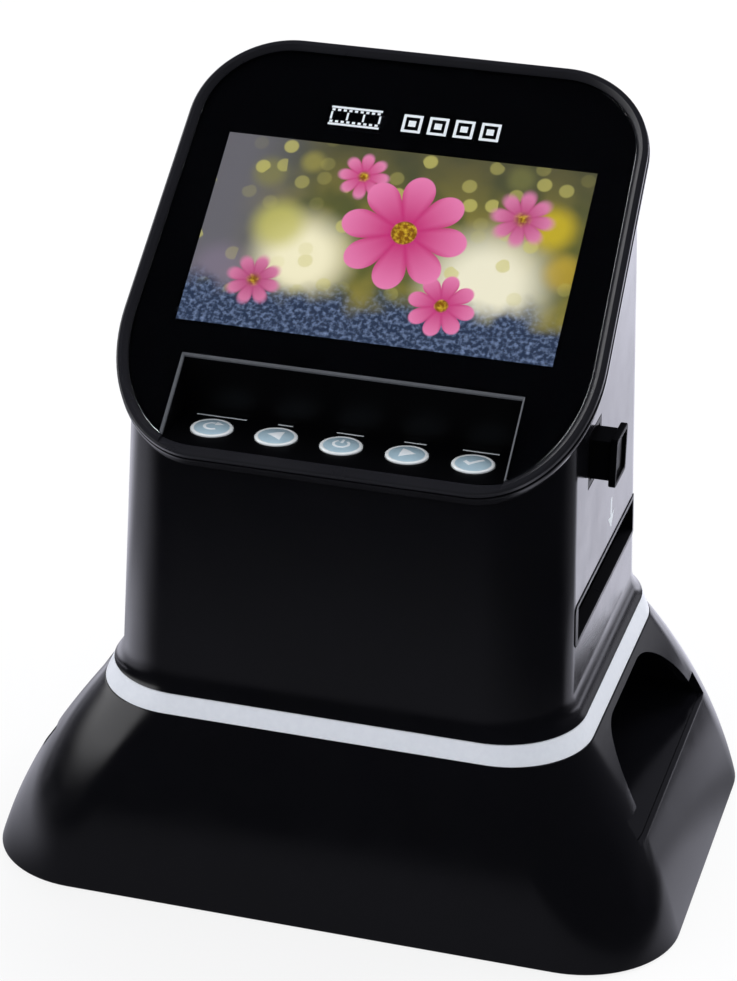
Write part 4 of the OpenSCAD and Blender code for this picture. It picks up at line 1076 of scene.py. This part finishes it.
# Faces on the rim take the second material, the near-white lacquer of the painted highlight.
for face in master.data.polygons:
    middle = face.center / MM
    on_rim = math.hypot(middle.x, middle.y) > RIM_IN and middle.z > STOP_Z
    face.material_index = 1 if on_rim else 0
for place, name in enumerate(("back", "left", "power", "right", "ok"), -2):
    cap = put_at_button(new_object("cap_" + name, master.data.copy()), place)
    hand_over(cap, f"button_{name}_cap", "button_silver", ["button_" + name], silver_lacquer, rim_highlight_lacquer)
bpy.data.objects.remove(master)

# %% [markdown]
# ## Printed marks
# The caps carry pad-printed symbols: a hooked arrow, two triangles, a power sign and a check mark. Each
# is drawn as flat outlines and extruded to a prism, which is then intersected with a dome 0.02 mm
# higher than the cap's own. What stays is ink that follows the dome. Other marks are plain: a bar
# behind each cap, an arrow over the film slot, and a film strip and four slides over the display.

# %% Outlines
def drawn(name, outlines, low, high):
    """Extrudes flat loops of (x, y), in millimetres, from one height to the other."""
    piece = start_piece(name)
    bpy.ops.object.mode_set(mode="OBJECT")
    points, loops = [], []
    for outline in outlines:
        loops.append(list(range(len(points), len(points) + len(outline))))
        points += [(x * MM, y * MM, low * MM) for x, y in outline]
    piece.data.from_pydata(points, [], loops)
    bpy.ops.object.mode_set(mode="EDIT")
    rise = {"value": (0, 0, (high - low) * MM)}
    work_mesh(extrude_region_move={"TRANSFORM_OT_translate": rise},
              normals_make_consistent={"inside": False})
    return piece


def bar(x, y):
    """A rectangle between pairs of limits."""
    return [(x[0], y[0]), (x[1], y[0]), (x[1], y[1]), (x[0], y[1])]


def arc(radius, width, start, end, steps=24):
    """A bent stroke about the origin, between two angles in degrees."""
    turns = [math.radians(start + (end - start) * i / steps) for i in range(steps + 1)]
    inner, outer = ([(r * math.cos(a), r * math.sin(a)) for a in turns] for r in span(radius, width))
    return outer + inner[::-1]


SYMBOLS = {
    "back": [arc(2.1, 0.85, 78, 315), [(0.6, 3.5), (3.1, 1.9), (0.6, 0.6)]],
    "left": [[(-2.6, 0), (1.8, 2.9), (1.8, -2.9)]],
    "power": [arc(2.2, 0.8, 125, 415), bar((-0.4, 0.4), (0.4, 3.1))],
    "right": [[(2.6, 0), (-1.8, 2.9), (-1.8, -2.9)]],
    "ok": [[(-2.9, -0.3), (-2.1, 0.6), (-0.8, -0.8), (2.2, 2.7), (3.0, 1.9), (-0.8, -2.4)]],
}
print("symbols drawn:", list(SYMBOLS))

# %% Ink on the caps
INK, INK_LOW = 0.02, BUTTON_TOP - 1.5
INK_DOME = [(r, BUTTON_TOP - depth + INK) for r, depth in DOME]
INK_DOME = [(0, INK_LOW)] + INK_DOME + [(INK_DOME[-1][0], INK_LOW), (0, INK_LOW)]
for place, (name, outlines) in enumerate(SYMBOLS.items(), -2):
    ink = drawn("symbol_" + name, outlines, BUTTON_TOP - 1, BUTTON_TOP + 1)
    put_at_button(carve(ink, spun("dome", INK_DOME), "INTERSECT"), place)
    hand_over(ink, f"button_{name}_cap", "band_white", [], pad_ink)

# %% Marks on the shelf and the wall
BAR_LENGTHS, BAR_SHIFT, BAR_Y = (15, 4.4, 8, 6.4, 10.6), 0.2, (-40.3, -39.7)
bars = [bar(span(place * BUTTON_PITCH + BAR_SHIFT, length), BAR_Y)
        for place, length in enumerate(BAR_LENGTHS, -2)]
shelf_marks = drawn("shelf_marks", bars, SHELF_Z - 0.3, SHELF_Z + INK)
hand_over(shelf_marks, "scanner", "band_white", [], pad_ink)

# The arrow is drawn flat, stood up across the wall, and cut by a skin that lies on the tower's.
ARROW_Y, ARROW_Z = 10.5, 101.0
ARROW = ((0, 0), (4.2, 4.4), (1.0, 3.9), (1.0, 9.6), (-1.0, 9.6), (-1.0, 3.9), (-4.2, 4.4))
arrow = drawn("slot_arrow", [[(y + ARROW_Y, z + ARROW_Z) for y, z in ARROW]], 66, 72)
arrow.data.transform(Matrix(((0, 0, 1), (1, 0, 0), (0, 1, 0))).to_4x4())
skin = loft("skin", body_ring, [(tower_spread(z), z, -INK) for z in (ARROW_Z - 5, ARROW_Z + 15)])
carve(arrow, skin, "INTERSECT")
hand_over(arrow, "scanner", "band_white", [], pad_ink)

# %% Marks over the display
STRIP_V = 40.6


def twin_bars(x, offset, height):
    """Two bars, one as far above the middle of the marks as the other is below it."""
    return [bar(x, span(STRIP_V + side * offset, height)) for side in (-1, 1)]


outlines = twin_bars((-26.5, -11.0), 2.9, 0.7)
for hole in range(9):
    left = -26.2 + hole * 1.72
    outlines += twin_bars((left, left + 0.95), 2.0, 0.76)
for line in range(4):
    outlines.append(bar(span(-26.0 + 4.88 * line, 0.6), span(STRIP_V, 2.6)))
for slide in range(4):
    left = -4.4 + slide * 7.8
    outlines += twin_bars((left, left + 5.8), 2.6, 0.84)
    outlines += [bar((x, x + 0.84), span(STRIP_V, 4.36)) for x in (left, left + 4.96)]
    outlines.append(bar((left + 1.8, left + 4.0), span(STRIP_V, 2.0)))
face_marks = place_on_face(drawn("face_marks", outlines, PLATE_TOP, PLATE_TOP + INK))
hand_over(face_marks, "scanner", "band_white", [], pad_ink)
print("shapes over the display:", len(outlines))

# %% [markdown]
# ## Finishes for the carried pieces
# Everything else keeps its CAD mesh and gets the finish its real counterpart has.

# %% Finishes for the carried pieces
FINISHES = {
    eroded_abs: ["bottom_plate", "film_deck", "film_gate", "scan_chamber", "lens_carriage",
                 "optics_chassis", "camera_barrel"],
    foot_rubber: ["rubber_feet"],
    print_black: ["face_mask"],
    tinned_steel: ["lcd_frame"],
    green_board: ["keypad_board", "camera_board", "main_board", "io_board"],
    steel_rod: ["guide_rods"],
    nickel_steel: ["dome_switches", "usb_socket", "hdmi_socket", "card_socket"],
    coated_glass: ["macro_lens", "camera_lens"],
    sensor_glass: ["image_sensor"],
    white_board: ["photo_led_boards", "backlight_board"],
    opal_acrylic: ["opal_diffuser"],
    white_abs: ["light_box"],
    lamp_phosphor: ["backlight_leds"],
    chip_epoxy: ["board_chips"],
    cable_film: ["ribbon_cable"],
    zinc_black: ["case_screws", "board_screws"],
}
for material, names in FINISHES.items():
    for name in names:
        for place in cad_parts[name].material_slots:
            place.material = material
print("finished CAD nodes:", sum(len(names) for names in FINISHES.values()))
